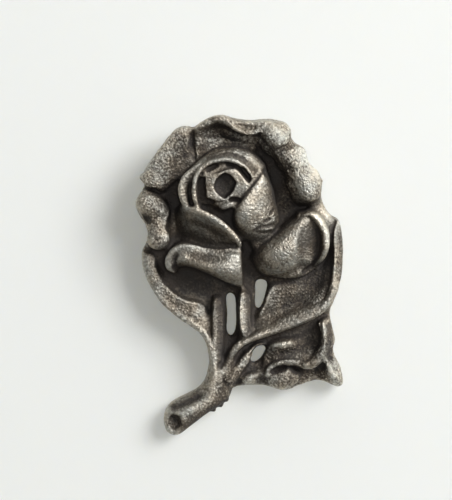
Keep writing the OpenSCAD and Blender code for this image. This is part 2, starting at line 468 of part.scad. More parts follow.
// What is cut from the front: three openings between the stalks, the pits in the bud's
// heart and the stem's end, and the slit in the curled lobe
module openings() {
    through = [
        [[-1.3, -2.0], [-0.85, -1.65], [-0.4, -2.0], [-0.3, -3.6], [-0.3, -5.2],
         [-0.8, -6.15], [-1.25, -5.4], [-1.15, -3.8]],
        [[1.65, -0.5], [2.3, -0.3], [2.85, -0.6], [2.6, -1.9], [2.2, -3.1],
         [1.8, -3.4], [1.6, -2.8], [1.65, -1.7]],
        [[1.1, -8.4], [1.3, -7.8], [1.8, -7.1], [2.4, -6.9], [2.8, -7.2],
         [2.4, -7.9], [2.1, -8.4], [1.4, -8.75]]
    ];
    for (hole = through)
        translate([0, 0, -2]) linear_extrude(9)
            polygon([for (p = smooth_loop(hole)) p * plan_k]);
    translate([-1.4 * plan_k, 9.1 * plan_k, 5.6 * relief_k])
        scale([1.1, 1.15, 2.3] * plan_k) sphere(r = 1, $fn = 10);
    translate([-6.5 * plan_k, -14.6 * plan_k, 2.9 * relief_k]) sphere(r = 0.75 * plan_k, $fn = 16);
    translate([4.2 * plan_k, -9.3 * plan_k, 2.9 * relief_k])
        rotate([0, 0, 18]) scale([2.4, 0.7, 1.4] * plan_k) sphere(r = 0.5, $fn = 10);
}

// All below the flat back
module below_back() {
    mirror([0, 0, 1]) translate([-30, -30, 0] * plan_k) cube([60, 60, 20] * plan_k);
}

// A round bar along the pin's foot, from z1 up to z2 of the casting's own height
module foot_bar(d, z1, z2) {
    translate([foot_x, pin_y, z1]) cylinder(d = d, h = z2 - z1, $fn = 32);
}

// Leans what is modelled flat, so that it rests on the pin and the stem's tip
module rest_pose() {
    translate([0, centre_y, -tip_y * sin(lean)]) rotate([lean, 0, 0]) children();
}

module rose_casting() {
    color("dimgray") rest_pose() difference() {
        union() {
            difference() {
                union() {
                    backing();
                    back_petals();
                    front_petals();
                    bud();
                    left_leaf();
                    right_leaf();
                    lower_leaf();
                    stalks();
                }
                openings();
                below_back();
            }
            foot_bar(collar_d, -collar_h, 0.2);
        }
        foot_bar(wire_d + 2 * fit_gap, -2 * collar_h, socket_depth);
    }
}

// One bent wire: a foot in the socket, a bend, and a straight needle with a point
module brooch_pin() {
    bend_z = needle_z + bend_r;
    color("silver") rest_pose() {
        foot_bar(wire_d, bend_z, socket_depth - fit_gap, $fn = 48);
        translate([foot_x + bend_r, pin_y, bend_z]) rotate([90, 0, 0]) rotate([0, 0, 180])
            rotate_extrude(angle = 90, $fn = 64) translate([bend_r, 0]) circle(d = wire_d, $fn = 48);
        translate([foot_x + bend_r, pin_y, needle_z]) rotate([0, 90, 0]) {
            cylinder(d = wire_d, h = needle_l, $fn = 48);
            translate([0, 0, needle_l]) cylinder(d1 = wire_d, d2 = 0.15, h = point_l, $fn = 48);
        }
    }
}

rose_casting();
brooch_pin();
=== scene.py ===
import json
import math

import bmesh
import bpy
import numpy as np
from mathutils import Matrix, Vector, noise
from mathutils.bvhtree import BVHTree

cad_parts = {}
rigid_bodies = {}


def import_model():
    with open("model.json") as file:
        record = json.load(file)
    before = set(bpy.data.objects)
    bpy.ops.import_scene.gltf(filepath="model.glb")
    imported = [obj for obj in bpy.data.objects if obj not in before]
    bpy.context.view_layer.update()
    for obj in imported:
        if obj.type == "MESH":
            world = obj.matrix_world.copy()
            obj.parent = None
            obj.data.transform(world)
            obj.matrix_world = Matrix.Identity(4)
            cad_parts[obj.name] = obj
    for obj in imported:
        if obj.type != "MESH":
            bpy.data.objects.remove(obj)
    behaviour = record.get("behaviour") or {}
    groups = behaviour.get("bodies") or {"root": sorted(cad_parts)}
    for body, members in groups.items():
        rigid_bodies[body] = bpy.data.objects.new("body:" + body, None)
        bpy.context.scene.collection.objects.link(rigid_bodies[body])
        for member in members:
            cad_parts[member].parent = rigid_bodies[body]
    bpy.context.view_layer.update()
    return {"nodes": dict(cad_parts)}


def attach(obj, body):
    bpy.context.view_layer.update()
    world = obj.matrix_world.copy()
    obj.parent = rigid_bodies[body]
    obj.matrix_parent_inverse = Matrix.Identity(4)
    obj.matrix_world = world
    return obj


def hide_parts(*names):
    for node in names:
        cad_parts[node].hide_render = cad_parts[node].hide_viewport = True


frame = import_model()
print("frame loaded:", sorted(frame["nodes"]))

# The badge leans on its pin. The casting is modelled flat, in millimetres, its back at
# z = 0, and is leaned and brought to metres at the end.
rest = {
    "pinLine": 5.0,      # where the pin bears on the back
    "stemTip": -16.2,    # where the stem's end bears on the floor
    "standOff": 2.0,     # how far the pin holds the back off the floor
    "centreY": 0.05,
}
lean = math.asin(rest["standOff"] / (rest["pinLine"] - rest["stemTip"]))
millimetre = 0.001
flatToFrame = (Matrix.Scale(millimetre, 4)
               @ Matrix.Translation((0, rest["centreY"], -rest["stemTip"] * math.sin(lean)))
               @ Matrix.Rotation(lean, 4, "X"))


def linearColour(code):
    channels = [int(code[i:i + 2], 16) / 255 for i in (1, 3, 5)]
    return [c / 12.92 if c <= 0.04045 else ((c + 0.055) / 1.055) ** 2.4 for c in channels] + [1]


def addNode(tree, kind, inputs, **settings):
    node = tree.nodes.new(kind)
    for name, value in settings.items():
        setattr(node, name, value)
    for key, value in inputs.items():
        if isinstance(value, bpy.types.NodeSocket):
            tree.links.new(value, node.inputs[key])
        else:
            node.inputs[key].default_value = value
    return node


def addMath(tree, operation, first, second=0.0, third=0.0):
    return addNode(tree, "ShaderNodeMath", {0: first, 1: second, 2: third},
                   operation=operation).outputs[0]


def addRange(tree, value, fromLimits, toLimits, **settings):
    inputs = dict(enumerate((value, *fromLimits, *toLimits)))
    return addNode(tree, "ShaderNodeMapRange", inputs, **settings).outputs[0]


def addRamp(tree, source, stops):
    node = addNode(tree, "ShaderNodeValToRGB", {"Fac": source})
    elements = node.color_ramp.elements
    while len(elements) < len(stops):
        elements.new(0.5)
    for element, (place, code) in zip(elements, stops):
        element.position = place
        element.color = linearColour(code)
    return node.outputs["Color"]


def linkedObject(name, data):
    ob = bpy.data.objects.new(name, data)
    bpy.context.collection.objects.link(ob)
    return ob


def meshObject(name, bm):
    mesh = bpy.data.meshes.new(name)
    bm.to_mesh(mesh)
    bm.free()
    return linkedObject(name, mesh)


def evaluatedMesh(ob):
    graph = bpy.context.evaluated_depsgraph_get()
    return bpy.data.meshes.new_from_object(ob.evaluated_get(graph))


def applyModifiers(ob):
    mesh = evaluatedMesh(ob)
    ob.modifiers.clear()
    old, ob.data = ob.data, mesh
    bpy.data.meshes.remove(old)


def voxelRemesh(ob, voxel):
    remesh = ob.modifiers.new("Remesh", "REMESH")
    remesh.mode = "VOXEL"
    remesh.voxel_size = voxel
    applyModifiers(ob)


def joinInto(ob, others):
    bm = bmesh.new()
    bm.from_mesh(ob.data)
    for other in others:
        bm.from_mesh(other.data)
        bpy.data.objects.remove(other)
    bm.to_mesh(ob.data)
    bm.free()


def smoothMesh(ob, passes):
    bm = bmesh.new()
    bm.from_mesh(ob.data)
    for _ in range(passes):
        bmesh.ops.smooth_vert(bm, verts=bm.verts, factor=0.5,
                              use_axis_x=True, use_axis_y=True, use_axis_z=True)
    bm.to_mesh(ob.data)
    bm.free()


def coordinates(mesh):
    points = np.empty(len(mesh.vertices) * 3)
    mesh.vertices.foreach_get("co", points)
    return points.reshape(-1, 3)


def setCoordinates(mesh, points):
    mesh.vertices.foreach_set("co", points.ravel())
    mesh.update()


def vertexNormals(mesh):
    normals = np.empty(len(mesh.vertices) * 3)
    mesh.vertex_normals.foreach_get("vector", normals)
    return normals.reshape(-1, 3)


def edgesBothWays(mesh):
    edges = np.empty(len(mesh.edges) * 2, dtype=int)
    mesh.edges.foreach_get("vertices", edges)
    edges = edges.reshape(-1, 2)
    return np.concatenate((edges, edges[:, ::-1]))


def spread(values, edges, passes):
    # Each pass brings the value of a vertex halfway to the mean of its neighbours
    neighbours = np.bincount(edges[:, 0], minlength=len(values))
    for _ in range(passes):
        total = np.bincount(edges[:, 0], weights=values[edges[:, 1]], minlength=len(values))
        values = 0.5 * values + 0.5 * total / neighbours
    return values


def smoothStep(value):
    value = np.clip(value, 0, 1)
    return value * value * (3 - 2 * value)


def alongRows(points, rows):
    # For each point, its distance from the line through the rows, the side it is on and
    # the row's other values there
    nearest = np.full(len(points), np.inf)
    side = np.zeros(len(points))
    values = np.zeros((len(points), len(rows[0]) - 2))
    for start, end in zip(rows, rows[1:] or rows):
        step = np.subtract(end, start)
        offset = points[:, :2] - np.array(start[:2])
        along = np.clip((offset @ step[:2]) / max(step[:2] @ step[:2], 1e-9), 0, 1)
        distance = np.linalg.norm(offset - along[:, None] * step[:2], axis=1)
        closer = distance < nearest
        nearest[closer] = distance[closer]
        side[closer] = (step[0] * offset[:, 1] - step[1] * offset[:, 0])[closer]
        values[closer] = (np.array(start[2:]) + along[:, None] * step[2:])[closer]
    return nearest, side, values


def field(points, rows):
    # Rows x, y, value, half width: the value along the line, fading to both sides
    distance, _, values = alongRows(points, rows)
    return values[:, 0] * np.exp(-(distance / values[:, 1]) ** 2)


def sumOfFields(points, table):
    return sum(field(points, rows) for rows in table.values())


def smoothRows(rows, steps=5):
    # The rows of a ridge, with more of them between, on a smooth curve
    rows = np.array(rows, dtype=float)
    padded = np.vstack((rows[:1], rows, rows[-1:]))
    made = []
    for a, b, c, d in zip(padded, padded[1:], padded[2:], padded[3:]):
        for t in np.arange(steps) / steps:
            made.append(0.5 * (2 * b + (c - a) * t + (2 * a - 5 * b + 4 * c - d) * t ** 2
                               + (3 * b - a - 3 * c + d) * t ** 3))
    return made + [rows[-1]]


def insideOutline(points, corners, softness):
    # 1 inside the outline and 0 outside, with a soft border
    inside = np.zeros(len(points), dtype=bool)
    for start, end in zip(corners, corners[1:] + corners[:1]):
        crosses = (start[1] > points[:, 1]) != (end[1] > points[:, 1])
        share = (points[:, 1] - start[1]) / ((end[1] - start[1]) or 1e-9)
        inside ^= crosses & (points[:, 0] < start[0] + share * (end[0] - start[0]))
    distance = alongRows(points, corners + corners[:1])[0]
    return smoothStep(np.where(inside, distance, -distance) / softness + 0.5)


def strand(name, rows):
    # A round strand through rows of x, y, height of its top, radius
    curve = bpy.data.curves.new(name, "CURVE")
    curve.dimensions = "3D"
    curve.bevel_depth = 1
    curve.bevel_resolution = 3
    curve.resolution_u = 5
    curve.use_fill_caps = True
    spline = curve.splines.new("BEZIER")
    spline.bezier_points.add(len(rows) - 1)
    for point, (x, y, top, radius) in zip(spline.bezier_points, rows):
        point.co = (x, y, top - radius)
        point.radius = radius
        point.handle_left_type = point.handle_right_type = "AUTO"
    ob = linkedObject(name, curve)
    mesh = evaluatedMesh(ob)
    bpy.data.objects.remove(ob)
    return linkedObject(name, mesh)


def lump(name, x, y, top, radiusX, radiusY, radiusZ, turn):
    # An ellipsoid, turned about its upright axis
    bm = bmesh.new()
    place = (Matrix.Translation((x, y, top - radiusZ))
             @ Matrix.Rotation(math.radians(turn), 4, "Z")
             @ Matrix.Diagonal((radiusX, radiusY, radiusZ, 1)))
    bmesh.ops.create_icosphere(bm, subdivisions=3, radius=1, matrix=place)
    return meshObject(name, bm)


def squareLamp(name, energy, size, place):
    # Faces the middle of the floor
    lamp = bpy.data.lights.new(name, "AREA")
    lamp.energy = energy
    lamp.size = size
    ob = linkedObject(name, lamp)
    ob.location = place
    ob.rotation_euler = place.to_track_quat("Z", "Y").to_euler()


# The casting, its lengths in flat millimetres. Rims are round strands laid along the
# petals' edges, each row x, y, height of its top above the back, radius.
rims = {
    "topPetal": [(-4.35, 14.3, 2.3, 0.25), (-4.0, 14.9, 2.9, 0.32), (-3.3, 15.35, 3.2, 0.36),
                 (-2.5, 15.75, 3.4, 0.38), (-1.7, 15.85, 3.5, 0.36), (-0.9, 15.6, 3.5, 0.36),
                 (0.1, 15.3, 3.45, 0.36), (1.2, 15.25, 3.5, 0.38), (2.4, 15.3, 3.6, 0.42),
                 (3.4, 15.0, 3.8, 0.5)],
    "topLip": [(-1.9, 15.6, 3.4, 0.2), (-0.9, 15.25, 3.6, 0.24), (-0.2, 14.8, 3.7, 0.25),
               (0.6, 14.52, 3.75, 0.25), (1.4, 14.52, 3.75, 0.26), (2.2, 14.85, 3.8, 0.26),
               (3.0, 15.0, 3.8, 0.3)],
    "budOuter": [(-5.3, 7.2, 3.9, 0.22), (-5.65, 8.0, 4.3, 0.27), (-5.75, 9.1, 4.45, 0.3),
                 (-5.4, 10.1, 4.5, 0.3), (-4.6, 10.85, 4.35, 0.26), (-3.7, 11.5, 4.15, 0.2)],
    "budBand": [(-2.9, 12.0, 4.3, 0.25), (-1.7, 12.5, 4.5, 0.28), (-0.4, 12.45, 4.55, 0.28),
                (0.7, 11.9, 4.5, 0.28), (1.5, 11.2, 4.45, 0.28), (2.1, 10.6, 4.4, 0.22)],
    "budRim": [(-4.0, 7.3, 4.35, 0.26), (-4.35, 8.0, 4.6, 0.28), (-4.45, 9.1, 4.75, 0.28),
               (-4.3, 10.1, 4.8, 0.27), (-3.75, 11.0, 4.8, 0.25), (-2.9, 11.6, 4.9, 0.24),
               (-2.0, 11.88, 5.0, 0.24), (-0.9, 11.88, 5.05, 0.25), (0.1, 11.5, 5.05, 0.25),
               (0.8, 10.9, 5.0, 0.24), (1.3, 10.0, 4.8, 0.2)],
    "frontRight": [(2.4, 10.4, 4.4, 0.2), (1.75, 9.6, 4.85, 0.2), (1.0, 8.7, 5.05, 0.2),
                   (0.35, 7.8, 5.1, 0.22), (-0.15, 7.0, 4.85, 0.2)],
    "frontLeft": [(-5.3, 7.15, 4.2, 0.22), (-4.3, 6.95, 4.6, 0.3), (-3.2, 6.5, 4.8, 0.33),
                  (-2.2, 5.95, 4.9, 0.33), (-1.25, 5.2, 4.85, 0.33), (-0.5, 4.4, 4.6, 0.32),
                  (-0.02, 3.7, 4.3, 0.28), (0.12, 3.2, 3.9, 0.2)],
    "lowerLeft": [(-6.3, 0.4, 2.5, 0.1), (-6.7, 0.85, 2.9, 0.2), (-7.05, 1.45, 3.2, 0.28),
                  (-6.95, 2.15, 3.4, 0.32), (-6.5, 2.8, 3.55, 0.34), (-5.7, 3.2, 3.7, 0.32),
                  (-4.6, 3.25, 3.8, 0.26), (-3.4, 2.95, 3.75, 0.24), (-2.0, 2.85, 3.85, 0.22),
                  (-0.6, 2.95, 4.0, 0.2), (0.25, 2.75, 3.85, 0.16)],
    "leftLeaf": [(-8.5, -1.2, 1.95, 0.25), (-7.5, -2.5, 2.15, 0.3), (-6.3, -3.5, 2.25, 0.34),
                 (-4.9, -4.5, 2.3, 0.36), (-3.8, -5.25, 2.4, 0.36), (-3.05, -6.3, 2.5, 0.34),
                 (-2.7, -7.6, 2.55, 0.34), (-2.45, -8.8, 2.6, 0.36), (-2.5, -10.2, 2.6, 0.4),
                 (-2.9, -11.3, 2.6, 0.42)],
    "rightLeaf": [(9.3, -1.4, 2.9, 0.3), (8.5, -2.9, 2.9, 0.38), (7.6, -3.65, 2.85, 0.38),
                  (6.4, -4.25, 2.8, 0.38), (4.9, -4.85, 2.75, 0.38), (3.3, -5.42, 2.75, 0.38),
                  (1.7, -5.95, 2.7, 0.36), (0.5, -6.45, 2.7, 0.38), (-0.3, -7.05, 2.65, 0.4),
                  (-0.85, -7.8, 2.5, 0.38)],
    "lowerLeaf": [(8.1, -4.4, 2.6, 0.25), (8.35, -5.2, 2.85, 0.3), (8.55, -6.2, 2.9, 0.33),
                  (8.5, -7.2, 2.85, 0.38), (8.1, -8.1, 2.7, 0.42), (7.4, -8.7, 2.5, 0.45),
                  (6.6, -8.85, 2.4, 0.42), (6.0, -8.65, 2.4, 0.4), (5.2, -8.5, 2.5, 0.36),
                  (4.4, -8.55, 2.5, 0.36), (3.6, -8.85, 2.45, 0.38), (3.0, -9.3, 2.4, 0.38),
                  (2.85, -9.95, 2.2, 0.36)],
    "leafTip": [(8.6, -8.1, 2.3, 0.22), (9.0, -8.9, 2.65, 0.28), (9.4, -9.7, 2.65, 0.28),
                (9.9, -10.4, 2.3, 0.25)],
    "middleStalk": [(0.3, -1.4, 2.1, 0.2), (0.25, -2.4, 2.5, 0.22), (0.25, -3.8, 2.6, 0.22),
                    (0.3, -5.0, 2.5, 0.22), (0.55, -5.9, 2.2, 0.2)],
    # The thick rolled lobes on the right, and what bears them
    "rightRoll": [(2.4, 14.8, 3.7, 0.75), (3.2, 14.45, 4.25, 1.15), (3.8, 14.0, 4.4, 1.2),
                  (4.2, 13.15, 3.9, 1.0), (4.85, 12.25, 4.15, 1.2), (5.55, 11.4, 4.2, 1.3),
                  (6.0, 10.6, 4.15, 1.25), (6.65, 9.75, 4.45, 1.4), (6.9, 8.9, 4.3, 1.3),
                  (6.9, 8.1, 3.8, 1.1)],
    "rollUnderside": [(2.3, 13.9, 2.4, 0.7), (3.2, 13.2, 2.9, 0.9), (4.0, 12.45, 3.15, 0.9),
                      (4.8, 11.6, 3.2, 0.9), (5.4, 10.6, 3.3, 0.9), (5.75, 9.6, 3.3, 0.9),
                      (6.0, 8.6, 2.9, 0.8)],
}

# Round lumps, each x, y, height of its top, its three radii, its turn in degrees
lumps = {
    "leftLobe": (-8.85, 7.35, 3.35, 1.5, 1.1, 1.1, -14),
    "leftLobeSide": (-7.85, 6.75, 3.1, 1.0, 0.95, 1.0, -20),
    "leftLobeJoin": (-8.1, 5.4, 3.0, 1.05, 1.1, 1.0, 0),
    "leftLobeEnd": (-8.02, 3.9, 3.2, 1.18, 1.15, 0.9, 0),
    "curledLobe": (4.4, -10.15, 2.3, 1.65, 1.15, 0.9, 6),
    "nub": (1.05, -10.15, 2.1, 0.5, 0.42, 0.7, 20),
    "rightSpur": (8.15, 9.72, 2.5, 0.24, 0.18, 0.5, -20),
    "leftSpur": (-9.65, 10.0, 2.2, 0.3, 0.3, 0.6, 0),
    "stemSpur": (-1.3, -12.35, 1.7, 0.36, 0.3, 0.4, -40),
    "stemSpurLow": (-1.85, -12.95, 1.6, 0.34, 0.28, 0.35, -30),
    "stemSpurEnd": (-2.6, -13.45, 1.5, 0.34, 0.25, 0.35, -30),
    "heartNub": (-1.3, 7.35, 4.75, 0.75, 0.33, 0.6, 27),
}

# Hollows and swells worked into the face, each row x, y, rise, half width
strokes = {
    # Edge petals and lobes
    "underLip": [(-4.0, 13.9, -0.2, 0.4), (-3.2, 14.5, -0.4, 0.45), (-2.0, 14.9, -0.5, 0.45),
                 (-0.6, 14.2, -0.5, 0.5), (0.6, 13.8, -0.3, 0.5), (2.0, 13.9, -0.3, 0.5)],
    "topPetalFloor": [(-1.6, 13.9, 0.15, 0.8), (0.0, 13.9, 0.4, 0.8), (1.6, 13.6, 0.5, 0.8)],
    "petalCrease": [(-4.5, 14.7, -0.25, 0.14), (-4.7, 14.0, -0.3, 0.16), (-4.75, 13.2, -0.3, 0.16),
                    (-4.6, 12.4, -0.1, 0.2)],
    "petalCreaseEdge": [(-4.2, 13.9, 0.15, 0.25), (-4.25, 13.0, 0.2, 0.25)],
    "petalCreaseFill": [(-4.7, 12.6, 0.2, 0.6), (-4.5, 11.6, 0.3, 0.5)],
    "rimFold": [(-0.1, 15.2, -0.25, 0.22), (0.7, 15.05, -0.3, 0.25), (1.5, 15.05, -0.2, 0.22)],
    "bandValley": [(-3.1, 12.05, -0.15, 0.2), (-2.2, 12.45, -0.25, 0.22),
                   (-1.2, 12.55, -0.25, 0.24), (-0.2, 12.35, -0.2, 0.24), (0.7, 11.7, -0.12, 0.3)],
    "upperLeftSwell": [(-7.9, 9.5, 0.35, 1.0), (-6.6, 12.2, 0.15, 0.9)],
    "leftLobeDent": [(-9.45, 6.15, -0.5, 0.3), (-9.0, 5.65, -0.25, 0.25)],
    "leftLobeFacet": [(-8.3, 7.6, -0.15, 0.5), (-7.6, 6.6, 0.15, 0.4)],
    "leftLobePock": [(-8.15, 3.85, -0.25, 0.16)],
    "lobeSaddle": [(4.1, 12.9, -0.3, 0.35), (4.9, 13.2, -0.45, 0.32), (5.9, 13.6, -0.35, 0.35)],
    "lobeSaddleLow": [(5.0, 10.9, -0.3, 0.4), (6.1, 10.8, -0.15, 0.35), (7.6, 11.2, -0.25, 0.4)],
    # Bud
    "heartCornerTop": [(-0.35, 10.85, 0.25, 0.3)],
    "heartCornerRight": [(0.35, 9.3, 0.15, 0.3)],
    "heartCornerLeft": [(-3.1, 9.95, 0.12, 0.3)],
    "frontLeftFace": [(-4.4, 5.6, -0.3, 0.6), (-3.0, 5.0, -0.35, 0.6), (-1.8, 4.2, -0.3, 0.5)],
    # Lower petals
    "lowerLeftFurrow": [(-4.9, 2.5, -0.15, 0.45), (-3.8, 2.35, -0.4, 0.5), (-2.6, 2.2, -0.45, 0.5),
                        (-1.5, 2.3, -0.2, 0.4)],
    "lowerLeftRoll": [(-5.3, 1.75, 0.35, 0.5), (-3.9, 1.35, 0.5, 0.5), (-2.5, 0.9, 0.5, 0.6),
                      (-1.1, 0.75, 0.4, 0.8), (-0.3, 0.7, 0.2, 0.6)],
    "lowerLeftHook": [(-6.5, 1.4, 0.5, 0.3), (-5.95, 2.0, 0.45, 0.5), (-5.4, 2.1, 0.3, 0.4)],
    "hookFurrow": [(-6.35, 1.1, -0.3, 0.14), (-6.35, 1.9, -0.3, 0.14), (-6.15, 2.5, -0.15, 0.14)],
    "lowerRightBody": [(4.6, 3.0, 0.3, 1.6)],
    # Web beside the right leaf's stalk
    "leafStalkWeb": [(0.8, -7.6, 0.35, 0.3), (0.0, -8.6, 0.4, 0.35)],
    # Folds and pits of the front right petal
    "frontFold": [(1.6, 5.6, -0.15, 0.2), (2.4, 5.25, -0.32, 0.18), (3.4, 5.4, -0.25, 0.2)],
    "frontFoldLow": [(1.5, 4.9, -0.12, 0.2), (2.2, 4.6, -0.28, 0.18), (3.0, 4.7, -0.18, 0.2)],
    "frontPit": [(2.55, 5.8, -0.28, 0.14), (2.95, 6.0, -0.3, 0.14)],
    "frontPitLow": [(1.65, 5.1, -0.22, 0.13), (1.95, 5.2, -0.22, 0.13)],
    "frontPitRight": [(3.15, 6.55, -0.22, 0.13), (3.35, 6.95, -0.22, 0.13)],
    "frontWrinkle": [(2.7, 4.95, 0.14, 0.14), (3.3, 5.05, 0.14, 0.14)],
    # Leaves
    "rightLeafSlope": [(1.6, -5.3, 0.55, 0.5), (3.4, -4.75, 0.85, 0.6), (5.2, -4.1, 1.0, 0.65),
                       (7.0, -3.3, 1.0, 0.7), (8.1, -2.3, 0.9, 0.65), (8.7, -0.8, 0.6, 0.5),
                       (9.0, 1.0, 0.3, 0.4)],
    "rightLeafEdge": [(3.4, -0.9, 0.35, 0.35), (2.75, -2.2, 0.35, 0.35), (2.1, -3.7, 0.3, 0.35)],
    "rightLeafWave": [(4.2, -2.2, 0.12, 0.6), (5.6, -1.4, 0.15, 0.7), (7.2, -1.5, 0.1, 0.6)],
    "rightLeafVein": [(4.6, -3.4, -0.15, 0.3), (6.4, -2.4, -0.2, 0.3), (7.8, -0.9, -0.15, 0.3)],
    "leftLeafEdge": [(-8.1, 0.8, 0.2, 0.25), (-7.3, -0.6, 0.25, 0.25), (-6.6, -1.6, 0.25, 0.25),
                     (-5.2, -2.4, 0.25, 0.25), (-4.0, -2.6, 0.2, 0.25)],
    "leftLeafFace": [(-4.6, -3.6, 0.12, 0.6), (-3.5, -4.6, 0.15, 0.5)],
    "lowerLeafFace": [(3.6, -7.6, 0.35, 0.5), (4.4, -7.1, 0.6, 0.5), (5.6, -6.9, 0.4, 0.5)],
    "lowerLeafFaceLow": [(6.8, -7.8, 0.3, 0.6), (5.2, -8.0, 0.3, 0.5), (3.8, -8.4, 0.3, 0.4)],
    "curl": [(3.35, -9.45, -0.6, 0.2), (3.9, -9.2, -0.8, 0.26), (4.5, -8.98, -0.5, 0.2)],
    "curlJoin": [(4.95, -9.15, 0.5, 0.25)],
    "curlPock": [(5.8, -9.35, -0.7, 0.35)],
    "lowerFold": [(3.6, -6.8, 0.3, 0.4), (4.3, -6.7, 0.4, 0.42), (5.1, -6.6, 0.3, 0.4)],
    "lowerFoldShade": [(3.4, -6.2, -0.2, 0.25), (5.4, -6.0, -0.2, 0.25)],
    # Stalks and stem
    "stalkEnd": [(1.5, -7.1, -0.8, 0.5)],
    "stemGroove": [(-6.5, -13.15, -0.35, 0.28), (-5.2, -12.6, -0.4, 0.28),
                   (-4.1, -12.0, -0.35, 0.26), (-3.4, -11.4, -0.15, 0.25)],
    "stemCrest": [(-6.0, -13.75, 0.15, 0.45), (-4.4, -12.95, 0.25, 0.45),
                  (-2.7, -12.1, 0.25, 0.5)],
}

